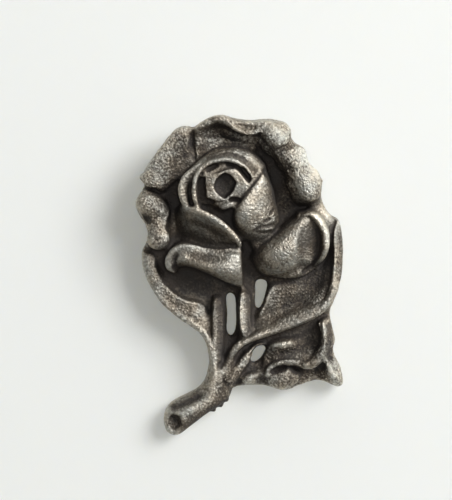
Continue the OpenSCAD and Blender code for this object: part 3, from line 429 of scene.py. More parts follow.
# Facets inside an outline: "raise" lifts what is lower than their plane, "lower" cuts what is
# higher, "set" does both. Then how soft their border is, and the corners, each x, y, height.
facets = {
    "heartFloor": ("raise", 0.2, (-3.9, 10.1, 4.4), (-3.3, 11.1, 4.4), (-2.0, 11.7, 4.4),
                   (-0.6, 11.6, 4.4), (0.3, 11.1, 4.4), (1.2, 10.1, 4.4), (1.0, 9.6, 4.4),
                   (0.0, 10.5, 4.4), (-1.0, 10.9, 4.4), (-3.3, 10.1, 4.4)),
    "heartRing": ("set", 0.2, (-3.35, 8.1, 4.35), (-3.38, 10.15, 4.45), (-1.3, 10.95, 4.7),
                  (-0.5, 11.1, 4.85), (0.95, 9.6, 4.85), (0.25, 8.05, 4.75), (-1.75, 7.75, 4.45)),
    "moatLeft": ("set", 0.17, (-4.02, 7.5, 3.4), (-4.05, 9.5, 3.4), (-3.85, 10.1, 3.6),
                 (-3.42, 10.0, 3.6), (-3.38, 9.0, 3.4), (-3.25, 8.1, 3.4), (-2.4, 7.7, 3.5),
                 (-2.7, 7.3, 3.5), (-3.4, 7.35, 3.4)),
    "moatTop": ("lower", 0.2, (-3.25, 10.7, 3.95), (-2.4, 11.05, 3.95), (-1.95, 11.35, 4.0),
                (-2.3, 11.55, 4.0), (-3.15, 11.2, 3.95)),
    "moatTopRight": ("lower", 0.15, (-1.25, 11.3, 4.05), (-0.3, 11.25, 4.0), (-0.1, 11.4, 4.0),
                     (-1.2, 11.6, 4.05)),
    "groove": ("lower", 0.12, (-0.2, 11.3, 3.8), (0.15, 10.9, 3.7), (0.7, 10.15, 3.7),
               (1.0, 9.85, 3.8), (1.2, 10.05, 3.8), (0.95, 10.5, 3.7), (0.45, 11.1, 3.8)),
    "grooveEnd": ("raise", 0.15, (1.12, 9.95, 4.6), (1.4, 10.6, 4.5), (2.3, 10.75, 4.35),
                  (0.95, 8.9, 4.75), (0.7, 9.1, 4.8), (0.95, 9.6, 4.75)),
    "heartPit": ("lower", 0.2, (-2.45, 9.3, 3.6), (-2.2, 10.0, 3.6), (-1.5, 10.55, 3.6),
                 (-0.9, 10.4, 3.6), (-0.3, 9.65, 3.6), (-0.6, 8.95, 3.6), (-1.0, 8.45, 3.6),
                 (-1.4, 8.1, 3.6), (-1.85, 8.35, 3.6), (-2.3, 8.8, 3.6)),
    "nubGap": ("lower", 0.12, (-0.95, 8.12, 3.9), (-0.3, 8.15, 3.9), (0.2, 8.0, 3.9),
               (0.1, 7.75, 3.9), (-0.5, 7.82, 3.9), (-1.1, 7.82, 3.9)),
    "nubFloor": ("raise", 0.25, (-2.9, 7.55, 3.8), (-2.0, 7.6, 3.9), (-1.8, 7.1, 3.9),
                 (-1.55, 6.7, 3.7), (-2.3, 7.0, 3.8)),
    "lobeColumn": ("raise", 0.35, (-8.6, 6.6, 2.8), (-7.2, 7.1, 2.9), (-6.9, 6.35, 2.75),
                   (-7.35, 5.2, 2.65), (-6.95, 4.1, 2.7), (-7.1, 3.4, 2.7), (-8.2, 3.4, 2.9),
                   (-8.8, 4.4, 2.8), (-8.6, 5.5, 2.8)),
    "petalPlate": ("raise", 0.3, (-4.3, 13.7, 2.3), (-3.0, 14.0, 2.3), (-1.4, 13.9, 2.2),
                   (0.2, 13.6, 2.1), (1.8, 13.2, 1.9), (1.6, 12.5, 1.9), (0.2, 13.0, 2.2),
                   (-1.6, 13.1, 2.3), (-3.4, 12.0, 2.2), (-4.3, 11.5, 2.1)),
    "lowerRightHollow": ("set", 0.9, (6.2, 5.6, 3.95), (7.0, 6.2, 3.7), (7.8, 6.0, 3.2),
                         (8.5, 5.0, 2.85), (8.7, 4.0, 2.75), (8.6, 3.0, 2.65), (7.9, 1.8, 2.6),
                         (7.2, 1.3, 2.7), (6.3, 1.6, 3.2), (5.9, 2.8, 3.9), (5.9, 4.3, 4.1)),
    "lowerRightTop": ("raise", 0.3, (5.2, 5.0, 3.95), (5.8, 5.7, 3.85), (6.4, 6.2, 3.85),
                      (7.0, 6.4, 3.85), (7.3, 6.1, 3.65), (6.9, 5.6, 3.65), (6.2, 4.9, 3.9),
                      (5.6, 4.6, 4.1)),
    "lowerRightFoot": ("lower", 0.3, (6.3, 0.8, 1.9), (7.0, 1.25, 1.9), (7.6, 1.6, 1.9),
                       (8.2, 1.7, 1.9), (7.9, 1.0, 1.9), (7.2, 0.5, 1.9), (6.3, 0.3, 1.9)),
    "leftStalk": ("set", 0.3, (-2.55, -1.95, 2.35), (-1.75, -1.95, 1.9), (-1.48, -3.2, 2.0),
                  (-1.48, -6.5, 2.05), (-1.7, -8.4, 2.15), (-2.5, -8.6, 2.6), (-2.66, -6.0, 2.55),
                  (-2.66, -4.0, 2.5)),
    "middleStalk": ("set", 0.25, (0.1, -1.5, 2.45), (0.5, -1.4, 2.4), (1.15, -1.7, 2.1),
                    (1.2, -4.0, 2.1), (1.35, -5.6, 2.1), (0.7, -6.3, 2.3), (0.1, -5.2, 2.55),
                    (0.0, -3.0, 2.55)),
    "rightLeafSide": ("set", 0.14, (9.7, 5.75, 2.7), (9.4, 4.6, 2.9), (9.38, 3.6, 2.95),
                      (9.48, 2.2, 2.95), (9.5, 1.0, 2.95), (9.45, -0.4, 2.95), (9.2, -1.4, 2.9),
                      (9.8, -1.6, 2.1), (10.3, 0.4, 2.0), (10.45, 2.6, 2.0), (10.3, 4.8, 2.0),
                      (9.95, 5.9, 2.1)),
    "stemPit": ("lower", 0.6, (-7.2, -15.05, 1.9), (-7.2, -14.3, 1.9), (-6.7, -13.8, 1.9),
                (-5.95, -13.95, 1.9), (-5.85, -14.85, 1.9), (-6.5, -15.45, 1.9)),
}

# Ridges worked into the face: how far they fall on the left and the right of the way they
# run, then rows x, y, height, reach to the left, reach to the right
ridges = {
    "lowerRight": (0.55, 1.0, (6.4, 6.3, 3.85, 0.35, 0.12), (6.95, 6.4, 4.0, 0.45, 0.25),
                   (7.5, 6.15, 4.1, 0.5, 0.45), (8.05, 5.5, 4.15, 0.5, 0.55),
                   (8.42, 4.7, 4.15, 0.5, 0.52), (8.55, 3.9, 4.1, 0.45, 0.5),
                   (8.5, 3.1, 3.9, 0.45, 0.5), (8.25, 2.35, 3.5, 0.45, 0.45),
                   (7.9, 1.8, 3.0, 0.45, 0.4), (7.6, 1.45, 2.4, 0.4, 0.35)),
    "leafStalk": (0.3, 0.35, (2.4, -6.72, 1.6, 0.2, 0.16), (1.7, -6.9, 1.85, 0.2, 0.16),
                  (1.0, -7.5, 2.05, 0.26, 0.16), (0.5, -8.3, 2.2, 0.35, 0.25),
                  (-0.3, -9.3, 2.3, 0.45, 0.45), (-1.1, -10.3, 2.4, 0.6, 0.6)),
    "rightLeaf": (0.4, 0.5, (9.25, -1.3, 2.9, 0.3, 0.25), (8.85, -2.3, 2.9, 0.35, 0.4),
                  (8.15, -3.2, 2.9, 0.35, 0.8), (7.2, -3.85, 2.85, 0.35, 1.0),
                  (6.0, -4.42, 2.8, 0.35, 1.0), (4.6, -4.95, 2.75, 0.35, 0.9),
                  (3.0, -5.5, 2.7, 0.35, 0.7), (1.6, -5.98, 2.7, 0.35, 0.5),
                  (0.5, -6.45, 2.7, 0.36, 0.4)),
    "lowerLeaf": (0.3, 0.7, (8.3, -4.6, 2.6, 0.3, 0.3), (8.45, -5.3, 2.8, 0.3, 0.35),
                  (8.55, -6.2, 2.85, 0.3, 0.45), (8.45, -7.2, 2.8, 0.35, 0.6),
                  (8.05, -8.05, 2.65, 0.4, 0.7), (7.4, -8.6, 2.5, 0.4, 0.6),
                  (6.6, -8.75, 2.4, 0.4, 0.5)),
}

# Where the finish is made brighter or darker, each row x, y, tone, half width.
# Partly the wear and stain of the antiqued metal, partly painted light: painted highlights on lit
# crests and rims, painted shade on flanks, undersides and hollows.
wearAndPaintedLightTones = {
    # Painted highlights on the lit crests of the lobes and the roll, over their worn brightness
    "lobe": [(3.7, 14.7, 0.4, 0.55), (4.3, 14.1, 0.3, 0.45)],
    "lobeMiddle": [(5.8, 11.8, 0.4, 0.5), (5.9, 11.2, 0.3, 0.5)],
    "lobeLow": [(6.7, 9.9, 0.4, 0.55), (7.0, 9.2, 0.3, 0.5)],
    "rollOutside": [(5.7, 12.9, 0.4, 0.5), (6.7, 11.8, 0.5, 0.5), (7.5, 10.6, 0.5, 0.5)],
    "rollInside": [(2.9, 13.0, 0.12, 0.8), (4.4, 12.4, -0.2, 0.5), (4.8, 11.3, -0.3, 0.5),
                   (5.15, 10.6, -0.35, 0.35)],
    "rollInsideLow": [(5.6, 10.1, 0.3, 0.6), (5.7, 9.3, 0.52, 0.6), (6.0, 8.4, 0.4, 0.5)],
    "rollEnd": [(7.9, 8.9, -0.15, 0.4), (7.8, 8.0, -0.15, 0.4)],
    # Painted highlight on the lit rim; painted shade in the hollow beside it, on the slope and on
    # the body
    "lowerRightRim": [(7.4, 6.3, 0.5, 0.4), (8.4, 4.8, 0.5, 0.4), (8.6, 3.6, 0.45, 0.4)],
    "lowerRightHollow": [(7.8, 5.2, -0.25, 0.35), (8.0, 3.9, -0.3, 0.35), (7.7, 2.5, -0.25, 0.4),
                         (7.1, 1.1, -0.3, 0.4)],
    "lowerRightSlope": [(6.7, 5.0, -0.12, 0.5), (6.6, 4.0, -0.15, 0.6), (6.3, 2.5, -0.15, 0.6)],
    "lowerRightBody": [(6.2, 5.4, -0.15, 0.4), (5.7, 4.4, -0.12, 0.4)],
    "lowerRightLow": [(4.0, 3.4, 0.2, 0.6), (2.9, 2.5, 0.2, 0.6)],
    "cavityLeft": [(-6.3, 5.6, 0.5, 0.8), (-6.8, 4.4, 0.4, 0.6)],
    "cavityRight": [(4.5, 8.2, 0.42, 0.9), (4.7, 6.6, 0.4, 0.6)],
    "heart": [(-2.9, 8.6, -0.1, 0.3), (-2.9, 9.9, -0.2, 0.3), (-1.9, 10.5, -0.1, 0.25)],
    "heartBright": [(-0.4, 10.7, 0.25, 0.3), (-0.1, 8.95, 0.2, 0.25), (0.4, 9.35, 0.15, 0.3)],
    # Painted shade on the right leaf's outer side
    "rightLeafSide": [(10.0, 4.6, -0.44, 0.3), (10.1, 2.4, -0.52, 0.35), (9.95, -0.2, -0.42, 0.3)],
    "rightLeafRim": [(9.45, 4.6, 0.15, 0.15), (9.4, 3.4, 0.15, 0.15), (9.5, 1.0, 0.1, 0.15)],
    "gapUnder": [(4.6, -6.0, 0.15, 0.35), (6.2, -5.4, 0.25, 0.4), (7.6, -4.8, 0.2, 0.4)],
    # Painted shade on the sides of the stalks
    "leftStalk": [(-1.95, -2.2, -0.6, 0.42), (-1.9, -5.0, -0.6, 0.42), (-1.9, -7.6, -0.5, 0.38),
                  (-1.9, -8.8, -0.2, 0.3)],
    "middleStalk": [(0.88, -1.7, -0.55, 0.4), (0.88, -3.6, -0.55, 0.4), (1.02, -5.3, -0.45, 0.42)],
    "lowerLeafRim": [(7.6, -8.7, -0.12, 0.35), (6.0, -8.8, -0.15, 0.35), (4.4, -8.5, -0.05, 0.3)],
    "stemPit": [(-6.5, -14.6, -0.15, 0.65)],
    "hook": [(-6.5, 1.3, -0.4, 0.3), (-6.3, 2.2, -0.3, 0.25)],
    "neck": [(-9.3, 6.0, -0.3, 0.3), (-8.3, 5.5, -0.18, 0.35)],
    "lowerLobe": [(-8.1, 4.0, -0.12, 0.8)],
    "frontLeftFace": [(-4.2, 5.6, -0.12, 0.6), (-2.6, 4.9, -0.12, 0.6)],
    # Painted shade on the lower leaf's outer side
    "lowerLeafSide": [(9.05, -4.8, -0.45, 0.4), (9.1, -6.2, -0.45, 0.4), (9.0, -7.6, -0.4, 0.4)],
    "rightLeafRimLow": [(7.4, -3.6, -0.08, 0.4), (4.6, -4.8, -0.08, 0.4), (1.6, -5.9, -0.05, 0.3)],
    "topBand": [(-2.8, 15.9, -0.22, 0.35), (0.5, 15.6, -0.2, 0.3)],
    "lowerLeftMiddle": [(-4.6, 2.4, -0.2, 0.45), (-2.8, 2.2, -0.2, 0.45)],
    "backLeft": [(-7.9, -2.9, -0.1, 0.6), (-6.6, -3.2, -0.08, 0.5)],
    "outerPetal": [(8.0, 7.0, 0.15, 0.5), (8.7, 6.3, 0.25, 0.5)],
    "rimFold": [(-0.1, 15.2, 0.05, 0.25), (0.7, 15.1, 0.08, 0.25), (1.5, 15.1, 0.05, 0.25)],
    "topLip": [(0.2, 14.65, -0.12, 0.2), (1.2, 14.5, -0.15, 0.2)],
    # Painted shade on the lit part of the top petal, painted light in the shaded band under its
    # lip
    "topPetalShade": [(-3.7, 13.3, -0.3, 0.5), (-3.4, 12.6, -0.15, 0.4)],
    "topPetalDark": [(-3.0, 14.4, 0.25, 0.35), (-1.4, 14.6, 0.35, 0.35), (0.6, 13.95, 0.4, 0.35),
                     (2.0, 13.8, 0.3, 0.35)],
    "topPetalLow": [(-1.4, 13.3, -0.2, 0.3), (-0.2, 13.25, -0.3, 0.3), (1.5, 12.95, -0.3, 0.3)],
    "upperLeftPetal": [(-5.4, 12.4, -0.38, 0.7), (-5.8, 14.0, -0.25, 0.6),
                       (-6.4, 11.4, -0.2, 0.6)],
    "upperLeftLow": [(-8.5, 9.4, 0.1, 0.6), (-7.5, 9.0, 0.12, 0.5)],
    "frontRightSide": [(3.1, 9.2, -0.28, 0.45), (3.3, 7.8, -0.28, 0.5), (3.1, 6.8, -0.12, 0.4)],
    "frontPit": [(2.5, 5.85, -0.35, 0.18), (3.0, 6.0, -0.35, 0.18)],
    "frontPitLow": [(1.4, 5.0, -0.25, 0.18), (2.0, 5.2, -0.3, 0.18)],
    "frontPitRight": [(3.0, 6.6, -0.3, 0.18), (3.4, 7.0, -0.3, 0.18)],
    "frontFold": [(2.2, 5.1, -0.25, 0.2), (3.2, 5.3, -0.25, 0.2)],
    # Painted light in the shaded floor below the heart
    "heartFloor": [(-2.6, 7.2, 0.3, 0.35)],
    "bandValley": [(-3.1, 12.1, -0.3, 0.25), (-1.2, 12.6, -0.4, 0.3), (0.3, 12.1, -0.35, 0.32),
                   (1.5, 11.0, -0.2, 0.4), (2.0, 10.6, -0.15, 0.3)],
    "frontRightLine": [(2.4, 10.75, -0.5, 0.13), (1.3, 9.35, -0.5, 0.13), (0.3, 8.1, -0.5, 0.13),
                       (-0.2, 7.4, -0.4, 0.16)],
    "topPetal": [(-2.6, 13.4, 0.08, 0.9), (-0.4, 13.6, 0.25, 0.7), (1.2, 13.3, 0.7, 0.7)],
    "rightLeafPlate": [(4.0, -3.0, -0.25, 1.4), (7.4, -0.6, -0.35, 1.3)],
    "lowerLeafPlate": [(4.0, -7.8, -0.2, 0.8), (7.2, -6.8, -0.25, 1.1)],
    "curledLobe": [(3.6, -10.2, -0.15, 0.9), (5.4, -10.3, -0.22, 0.9)],
    "curl": [(3.4, -9.45, -0.42, 0.25), (4.4, -9.0, -0.42, 0.25)],
    "curlPock": [(5.8, -9.3, -0.3, 0.3)],
    # Painted shade on the stem's flanks and elbow
    "stemFlank": [(-5.4, -15.2, -0.5, 0.7), (-3.5, -13.95, -0.65, 0.75),
                  (-1.4, -12.5, -0.65, 0.8)],
    "elbow": [(-0.6, -9.6, -0.35, 0.4), (-1.2, -10.6, -0.45, 0.5), (-1.9, -11.6, -0.25, 0.4)],
    "stemUpperFlank": [(-6.6, -13.1, -0.4, 0.36), (-5.2, -12.5, -0.5, 0.4),
                       (-4.1, -11.9, -0.5, 0.4)],
    "leftStalkEdge": [(-2.5, -3.0, -0.2, 0.2), (-2.5, -6.0, -0.2, 0.2)],
    "stemCrest": [(-5.9, -13.8, 0.15, 0.4), (-3.2, -12.5, 0.2, 0.45)],
    "stalkGap": [(-1.1, -6.6, -0.4, 0.5), (-1.3, -8.4, -0.4, 0.5)],
    "leafStalk": [(1.4, -7.15, 0.12, 0.15), (0.2, -8.8, 0.12, 0.18), (-0.6, -9.9, 0.1, 0.2)],
    "leafStalkWeb": [(0.9, -7.35, -0.25, 0.22), (-0.1, -8.5, -0.25, 0.3)],
    "leafStalkSide": [(1.0, -8.7, -0.3, 0.3), (0.3, -9.8, -0.3, 0.4), (-0.4, -10.8, -0.25, 0.4)],
    "leafBack": [(-7.4, -2.2, -0.1, 0.8), (-4.0, -4.0, -0.05, 0.8)],
    "cavity": [(-4.5, -0.6, -0.35, 1.8), (-6.6, -0.3, -0.3, 0.9)],
    # Painted shade on the lower left petal's underside
    "lowerLeftUnderside": [(-5.3, 0.95, -0.25, 0.35), (-3.7, 0.65, -0.3, 0.35),
                           (-2.4, 0.05, -0.3, 0.35), (-1.2, -0.6, -0.25, 0.3)],
    "leftLobes": [(-8.6, 7.3, -0.1, 1.0), (-8.2, 4.2, -0.05, 0.9)],
    # Painted highlights on the leaf tip and the fold
    "tip": [(8.95, -9.0, 0.4, 0.2), (9.5, -9.8, 0.35, 0.25)],
    "fold": [(3.6, -6.8, 0.5, 0.35), (5.1, -6.6, 0.5, 0.35)],
}

# How coarse the cast grain is, each row x, y, coarseness, half width
coarseParts = {
    "upperLeftPetal": [(-6.0, 13.5, 1.0, 1.4), (-8.2, 9.8, 1.2, 1.4)],
    "topPetal": [(-3.0, 14.0, 0.9, 1.2), (1.5, 13.6, 0.8, 1.2)],
    "rightLeaf": [(4.0, -2.5, 0.6, 1.5), (8.0, -1.0, 0.6, 1.5)],
    "lowerLeaf": [(3.5, -7.5, 0.8, 1.0), (7.5, -7.0, 0.8, 1.2)],
    "curledLobe": [(3.5, -10.5, 0.7, 1.2), (9.5, -10.0, 0.8, 1.2)],
    "stem": [(-7.0, -15.0, 0.35, 1.2), (-1.0, -11.0, 0.6, 1.2)],
    "rightRoll": [(3.8, 14.5, 1.1, 1.2), (6.8, 10.0, 1.0, 1.5)],
    "lowerRightPetal": [(4.0, 2.0, 0.4, 2.0)],
    "leafStalk": [(1.0, -8.0, 0.6, 0.7), (-1.0, -10.0, 0.6, 0.9)],
    "rollInside": [(3.4, 12.9, 1.4, 0.8), (5.0, 11.4, 1.5, 0.7), (5.7, 9.3, 1.5, 0.7)],
    "rightLeafSide": [(10.0, 4.0, 0.5, 0.5), (10.0, 0.5, 0.5, 0.5)],
    "frontRight": [(2.6, 6.4, 0.6, 0.8), (1.4, 5.4, 0.5, 0.6)],
    "tip": [(9.4, -9.6, 0.7, 0.9), (9.0, -6.2, 0.5, 0.6)],
    "nub": [(1.0, -10.2, 0.8, 0.6)],
    "lowerRightRim": [(8.4, 5.0, 0.4, 0.5), (8.5, 3.5, 0.4, 0.5)],
    "cavityRight": [(4.6, 6.9, 0.8, 0.8), (4.8, 9.0, 0.6, 0.7)],
    "leftLobes": [(-8.8, 7.2, 0.5, 1.2), (-8.1, 4.2, 0.6, 0.9)],
    "leftLeaf": [(-8.9, 0.8, 0.3, 0.7), (-6.4, -2.8, 0.4, 0.7), (-3.2, -6.5, 0.3, 0.5)],
}

casting = {
    "softVoxel": 0.14,       # first remesh, which rounds the facets of the solid
    "softPasses": 10,
    "voxel": 0.115,          # second remesh, which joins the crisp rims to it
    "passes": 4,
    "fineVoxel": 0.1,        # third remesh, which evens out what was worked into the face
    "finePasses": 2,
    "triangles": 190000,
    "frontStart": 0.6,       # the face is worked from this height up,
    "frontFade": 0.4,        # in full from this much higher,
    "frontTurn": -0.3,       # and where it doesn't face down more than this
    "floorLevel": 0.75,      # no hollow goes nearer to the back than this
    "ridgeEnd": 1.2,         # a ridge ends at this share of its reach,
    "ridgeFade": 0.4,        # blending over this share
    "waves": ((1.3, 0.05), (0.6, 0.04), (0.26, 0.04)),   # length and height of the grain
    "leastCoarse": 0.15,
    "evenGrain": 0.25,       # share of the grain that is there at any coarseness
    "backHeight": 0.5,       # below this height the grain lessens,
    "backGrain": 0.3,        # to this share on the back
    "seed": 11,
    "rays": 14,              # from each point, to find how open it lies,
    "rayLength": 3.0,        # as walls farther off than this shade it little
    "rayStart": 0.03,
    "rayLift": 1.05,         # over 1, so that no ray goes into the face
    "opennessPasses": 2,
    "edgePasses": 8,         # rims and small crests
    "proudPasses": 60,       # whole lobes and petals
    "proudShare": 92,        # this percentage of the heights counts as less than fully proud
    "proudLimits": (-0.4, 1),
    "sideSlope": 0.15,       # a normal that rises less than this is an upright side,
    "sideGrain": 0.4,        # which has this share of the grain's coarseness
}

bm = bmesh.new()
bm.from_mesh(frame["nodes"]["rose_casting"].data)
bmesh.ops.remove_doubles(bm, verts=bm.verts, dist=1e-7)
bmesh.ops.transform(bm, matrix=flatToFrame.inverted(), verts=bm.verts)
rose = meshObject("roseCasting", bm)
voxelRemesh(rose, casting["softVoxel"])
smoothMesh(rose, casting["softPasses"])
print("soft body:", len(rose.data.polygons), "faces")

joinInto(rose, [strand(name, rows) for name, rows in rims.items()]
         + [lump(name, *row) for name, row in lumps.items()])
voxelRemesh(rose, casting["voxel"])
smoothMesh(rose, casting["passes"])
print("body with rims:", len(rose.data.polygons), "faces")

# Works the hollows, swells, facets and ridges into the front face
points = coordinates(rose.data)
front = (np.clip((points[:, 2] - casting["frontStart"]) / casting["frontFade"], 0, 1)
         * (vertexNormals(rose.data)[:, 2] > casting["frontTurn"]))
lowest = np.minimum(points[:, 2], casting["floorLevel"])
points[:, 2] = np.maximum(points[:, 2] + sumOfFields(points, strokes) * front, lowest)
for way, softness, *corners in facets.values():
    places = np.array(corners)
    plane = np.linalg.lstsq(np.column_stack((places[:, :2], np.ones(len(places)))),
                            places[:, 2], rcond=None)[0]
    level = points[:, :2] @ plane[:2] + plane[2]
    if way == "raise":
        level = np.maximum(level, points[:, 2])
    if way == "lower":
        level = np.minimum(level, points[:, 2])
    share = insideOutline(points, corners, softness) * front
    points[:, 2] += share * (level - points[:, 2])
for leftFall, rightFall, *rows in ridges.values():
    distance, side, values = alongRows(points, smoothRows(rows))
    reach = np.where(side > 0, values[:, 1], values[:, 2])
    fall = np.where(side > 0, leftFall, rightFall)
    level = values[:, 0] - fall * (distance / reach) ** 2
    share = front * smoothStep((casting["ridgeEnd"] - distance / reach)
                               / casting["ridgeFade"])
    points[:, 2] += share * (level - points[:, 2])
setCoordinates(rose.data, points)
voxelRemesh(rose, casting["fineVoxel"])
smoothMesh(rose, casting["finePasses"])

decimate = rose.modifiers.new("Decimate", "DECIMATE")
decimate.ratio = casting["triangles"] / (2 * len(rose.data.polygons))
applyModifiers(rose)
print("worked body:", len(rose.data.polygons), "faces")

# Cast grain, coarser in some parts, moved along the normals
points = coordinates(rose.data)
coarse = np.clip(casting["leastCoarse"] + sumOfFields(points, coarseParts), 0, 1)
grain = np.zeros(len(points))
for length, height in casting["waves"]:
    offset = Vector((casting["seed"], length * 7, 0))
    grain += height * np.array([noise.noise(Vector(p) / length + offset) for p in points])
grain *= casting["evenGrain"] + coarse
grain *= np.clip(points[:, 2] / casting["backHeight"], casting["backGrain"], 1)
points += vertexNormals(rose.data) * grain[:, None]
setCoordinates(rose.data, points)
print("grained")

# How much of the sky each point sees
normals = vertexNormals(rose.data)
surface = BVHTree.FromObject(rose, bpy.context.evaluated_depsgraph_get())
randomiser = np.random.default_rng(casting["seed"])
rays = randomiser.normal(size=(casting["rays"], 3))
rays /= np.linalg.norm(rays, axis=1)[:, None]
openness = np.zeros(len(points))
for i, (point, normal) in enumerate(zip(points, normals)):
    start = Vector(point + normal * casting["rayStart"])
    for ray in rays:
        direction = Vector(ray + normal * casting["rayLift"])
        if surface.ray_cast(start, direction, casting["rayLength"])[0] is None:
            openness[i] += 1 / casting["rays"]
print("openness found")

edges = edgesBothWays(rose.data)


def proudness(passes):
    # How far each point stands out of its surroundings, which more passes make wider
    around = np.stack([spread(points[:, axis], edges, passes) for axis in range(3)], axis=1)
    height = ((points - around) * normals).sum(axis=1)
    return np.clip(height / np.percentile(np.abs(height), casting["proudShare"]),
                   *casting["proudLimits"])


# The tones belong to the face, so they fade on the upright sides, where the grain is finer
upward = np.clip(normals[:, 2] / casting["sideSlope"], 0, 1)
measures = {
    "openness": spread(openness, edges, casting["opennessPasses"]),
    "edge": proudness(casting["edgePasses"]),
    "proud": proudness(casting["proudPasses"]),
    "coarse": coarse * (casting["sideGrain"] + (1 - casting["sideGrain"]) * upward),
    # painted highlights and painted shade, with real wear and stain
    "tone": upward * sumOfFields(points, wearAndPaintedLightTones),
}
for name, values in measures.items():
    layer = rose.data.attributes.new(name, "FLOAT", "POINT")
    layer.data.foreach_set("value", values)
print("measures stored")

rose.data.transform(flatToFrame)
for polygon in rose.data.polygons:
    polygon.use_smooth = True
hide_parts("rose_casting")
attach(rose, "root")

# Antiqued cast pewter: black-brown in the hollows, worn bright on the edges and on the
# tops of its grain. The wear is a sum of the measures, and sets colour, roughness and metal;
# its tone measure also adds painted highlights and painted shade.
finish = {
    "grainScale": 4200,      # cells of 0.24 mm
    "speckScale": 3800,      # cells of 0.26 mm
    "blotchScale": 900,      # cells of 1.1 mm
    "tintScale": 550,        # patches of 1.8 mm
    "speckDepth": -0.4,      # pits in the grain
    "grainMiddle": 0.3,      # taken off, so that the grain darkens as well as brightens
    "evenGrain": 0.35,       # share of the grain that is there at any coarseness
    "base": -0.46,           # wear of a hidden point,
    "openness": 0.85,        # and how much each measure adds to it
    "edge": 0.1,
    "proud": 0.1,
    "blotch": 0.34,
    "grain": 1.35,
    "bump": 0.00026,         # height of the grain, in metres
    "colours": [(0.0, "#45403c"), (0.3, "#6e675e"), (0.6, "#b3ada2"), (1.0, "#f2eee3")],
    "tints": [(0.38, "#fffaf3"), (0.62, "#f8fbfd")],
    "roughWear": (0.0, 0.8),    # between these limits of wear,
    "roughness": (0.7, 0.48),   # the roughness goes from one of these to the other
    "metalWear": (0.0, 0.4),
    "metalness": (0.45, 1.0),
}
pewter = bpy.data.materials.new("antiquedCastPewter")
pewter.use_nodes = True
tree = pewter.node_tree
shader = tree.nodes["Principled BSDF"]
place = addNode(tree, "ShaderNodeTexCoord", {}).outputs["Object"]
stored = {name: addNode(tree, "ShaderNodeAttribute", {}, attribute_name=name).outputs["Fac"]
          for name in measures}
grainNoise = addNode(tree, "ShaderNodeTexNoise",
                     {"Vector": place, "Scale": finish["grainScale"], "Detail": 3,
                      "Roughness": 0.65}).outputs["Fac"]
speckCells = addNode(tree, "ShaderNodeTexVoronoi",
                     {"Vector": place, "Scale": finish["speckScale"],
                      "Randomness": 1.0}).outputs["Distance"]
blotchNoise = addNode(tree, "ShaderNodeTexNoise",
                      {"Vector": place, "Scale": finish["blotchScale"], "Detail": 3,
                       "Roughness": 0.55}).outputs["Fac"]
tintNoise = addNode(tree, "ShaderNodeTexNoise",
                    {"Vector": place, "Scale": finish["tintScale"], "Detail": 2}).outputs["Fac"]

specks = addMath(tree, "MULTIPLY_ADD", speckCells, finish["speckDepth"], grainNoise)
specks = addMath(tree, "SUBTRACT", specks, finish["grainMiddle"])
grainShare = addMath(tree, "MULTIPLY_ADD", stored["coarse"], 1 - finish["evenGrain"],
                     finish["evenGrain"])
grainPart = addMath(tree, "MULTIPLY", specks, grainShare)
wearAndPaintedLight = finish["base"]
for source, name in ((stored["openness"], "openness"), (stored["edge"], "edge"),
                     (stored["proud"], "proud"), (blotchNoise, "blotch"),
                     (grainPart, "grain")):
    wearAndPaintedLight = addMath(tree, "MULTIPLY_ADD", source, finish[name], wearAndPaintedLight)
# The tone adds painted highlights and painted shade as well as real wear and stain
wearAndPaintedLight = addMath(tree, "ADD", wearAndPaintedLight, stored["tone"])

colour = addRamp(tree, wearAndPaintedLight, finish["colours"])
tint = addRamp(tree, tintNoise, finish["tints"])
stained = addNode(tree, "ShaderNodeVectorMath", {0: colour, 1: tint},
                  operation="MULTIPLY").outputs["Vector"]
tree.links.new(stained, shader.inputs["Base Color"])
tree.links.new(addRange(tree, wearAndPaintedLight, finish["roughWear"], finish["roughness"]),
               shader.inputs["Roughness"])
tree.links.new(addRange(tree, wearAndPaintedLight, finish["metalWear"], finish["metalness"]),
               shader.inputs["Metallic"])
bump = addNode(tree, "ShaderNodeBump", {"Height": grainPart, "Strength": 1.0,
                                        "Distance": finish["bump"]})
tree.links.new(bump.outputs[0], shader.inputs["Normal"])
rose.data.materials.clear()
rose.data.materials.append(pewter)

# Drawn steel wire of the pin, smooth and a little dull
wire = {"colour": "#a9a7a2", "roughness": 0.32}
steel = bpy.data.materials.new("drawnSteelWire")
steel.use_nodes = True
shader = steel.node_tree.nodes["Principled BSDF"]
shader.inputs["Base Color"].default_value = linearColour(wire["colour"])
shader.inputs["Metallic"].default_value = 1.0
shader.inputs["Roughness"].default_value = wire["roughness"]
pin = frame["nodes"]["brooch_pin"]
pin.data.materials.clear()
pin.data.materials.append(steel)

# Pale honed slab that lets light in a little, as marble does, so shadows on it stay soft.
# Its lengths are in metres.
slab = {"size": 0.6, "thickness": 0.03, "colour": "#f4f6f2", "roughness": 0.55,
        "clearness": 0.45, "depth": 0.03, "depthByColour": (1.0, 0.95, 0.85)}
bm = bmesh.new()
bmesh.ops.create_cube(bm, size=1, matrix=Matrix.Translation((0, 0, -slab["thickness"] / 2))
                      @ Matrix.Diagonal((slab["size"], slab["size"], slab["thickness"], 1)))
floor = meshObject("floor", bm)
pale = bpy.data.materials.new("paleFloor")
pale.use_nodes = True
shader = pale.node_tree.nodes["Principled BSDF"]
shader.inputs["Base Color"].default_value = linearColour(slab["colour"])
shader.inputs["Roughness"].default_value = slab["roughness"]
shader.inputs["Subsurface Weight"].default_value = slab["clearness"]
shader.inputs["Subsurface Scale"].default_value = slab["depth"]
shader.inputs["Subsurface Radius"].default_value = slab["depthByColour"]
floor.data.materials.append(pale)

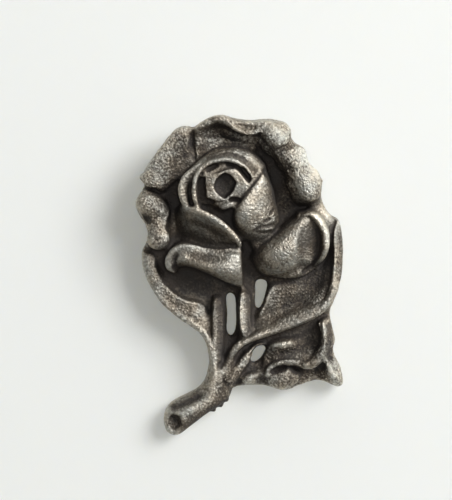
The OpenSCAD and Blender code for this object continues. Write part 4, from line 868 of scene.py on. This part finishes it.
# The camera looks straight down, its lengths in millimetres
view = {
    "centreX": -1.3,
    "centreY": 2.6,
    "height": 50.0,          # what the picture takes in from bottom to top
    "level": 3.0,            # at this height above the floor, where the face lies,
    "distance": 240.0,       # and the camera is this far above it
    "sensor": 36.0,
}
cameraData = bpy.data.cameras.new("camera")
cameraData.sensor_fit = "VERTICAL"
cameraData.sensor_height = view["sensor"]
cameraData.lens = view["sensor"] * view["distance"] / view["height"]
cameraData.clip_start = 0.01
camera = linkedObject("camera", cameraData)
camera.location = Vector((view["centreX"], view["centreY"],
                          view["distance"] + view["level"])) * millimetre
bpy.context.scene.camera = camera

# One window-like lamp from the upper right, a weak one above, and a weak room around them,
# brighter on the window's side and paler near the horizon as a studio's backdrop is.
# Angles are in degrees, lengths in metres and energies in watts.
light = {
    "azimuth": 32.0, "elevation": 40.0, "distance": 0.8, "size": 0.42, "energy": 7.3,
    "aboveHeight": 0.6, "aboveSize": 0.08, "aboveEnergy": 0.85,
    "room": 0.03,                   # the room's strength where its glow is 1
    "glowFacing": (-0.4, 1.0),      # from away from the window to towards it
    "glow": (0.25, 1.9),
    "horizon": 0.6,                 # what the horizon adds to that
    "horizonHeights": (0.1, 0.24),  # where this starts to fade, and is gone
    "roomColour": "#eef0ee",
}
azimuth = math.radians(light["azimuth"])
elevation = math.radians(light["elevation"])
towards = Vector((math.cos(elevation) * math.cos(azimuth),
                  math.cos(elevation) * math.sin(azimuth), math.sin(elevation)))
squareLamp("window", light["energy"], light["size"], towards * light["distance"])
squareLamp("ceiling", light["aboveEnergy"], light["aboveSize"],
           Vector((0, 0, light["aboveHeight"])))

room = bpy.data.worlds.new("room")
room.use_nodes = True
tree = room.node_tree
direction = addNode(tree, "ShaderNodeTexCoord", {}).outputs["Generated"]
facing = addNode(tree, "ShaderNodeVectorMath", {0: direction, 1: towards},
                 operation="DOT_PRODUCT").outputs["Value"]
glow = addRange(tree, facing, light["glowFacing"], light["glow"])
height = addNode(tree, "ShaderNodeSeparateXYZ", {0: direction}).outputs["Z"]
horizon = addRange(tree, height, light["horizonHeights"], (light["horizon"], 0.0),
                   interpolation_type="SMOOTHSTEP")
background = tree.nodes["Background"]
background.inputs["Color"].default_value = linearColour(light["roomColour"])
tree.links.new(addMath(tree, "MULTIPLY_ADD", glow, light["room"], horizon),
               background.inputs["Strength"])
bpy.context.scene.world = room
bpy.context.scene.view_settings.view_transform = "Standard"
print("floor, camera and lamps placed")
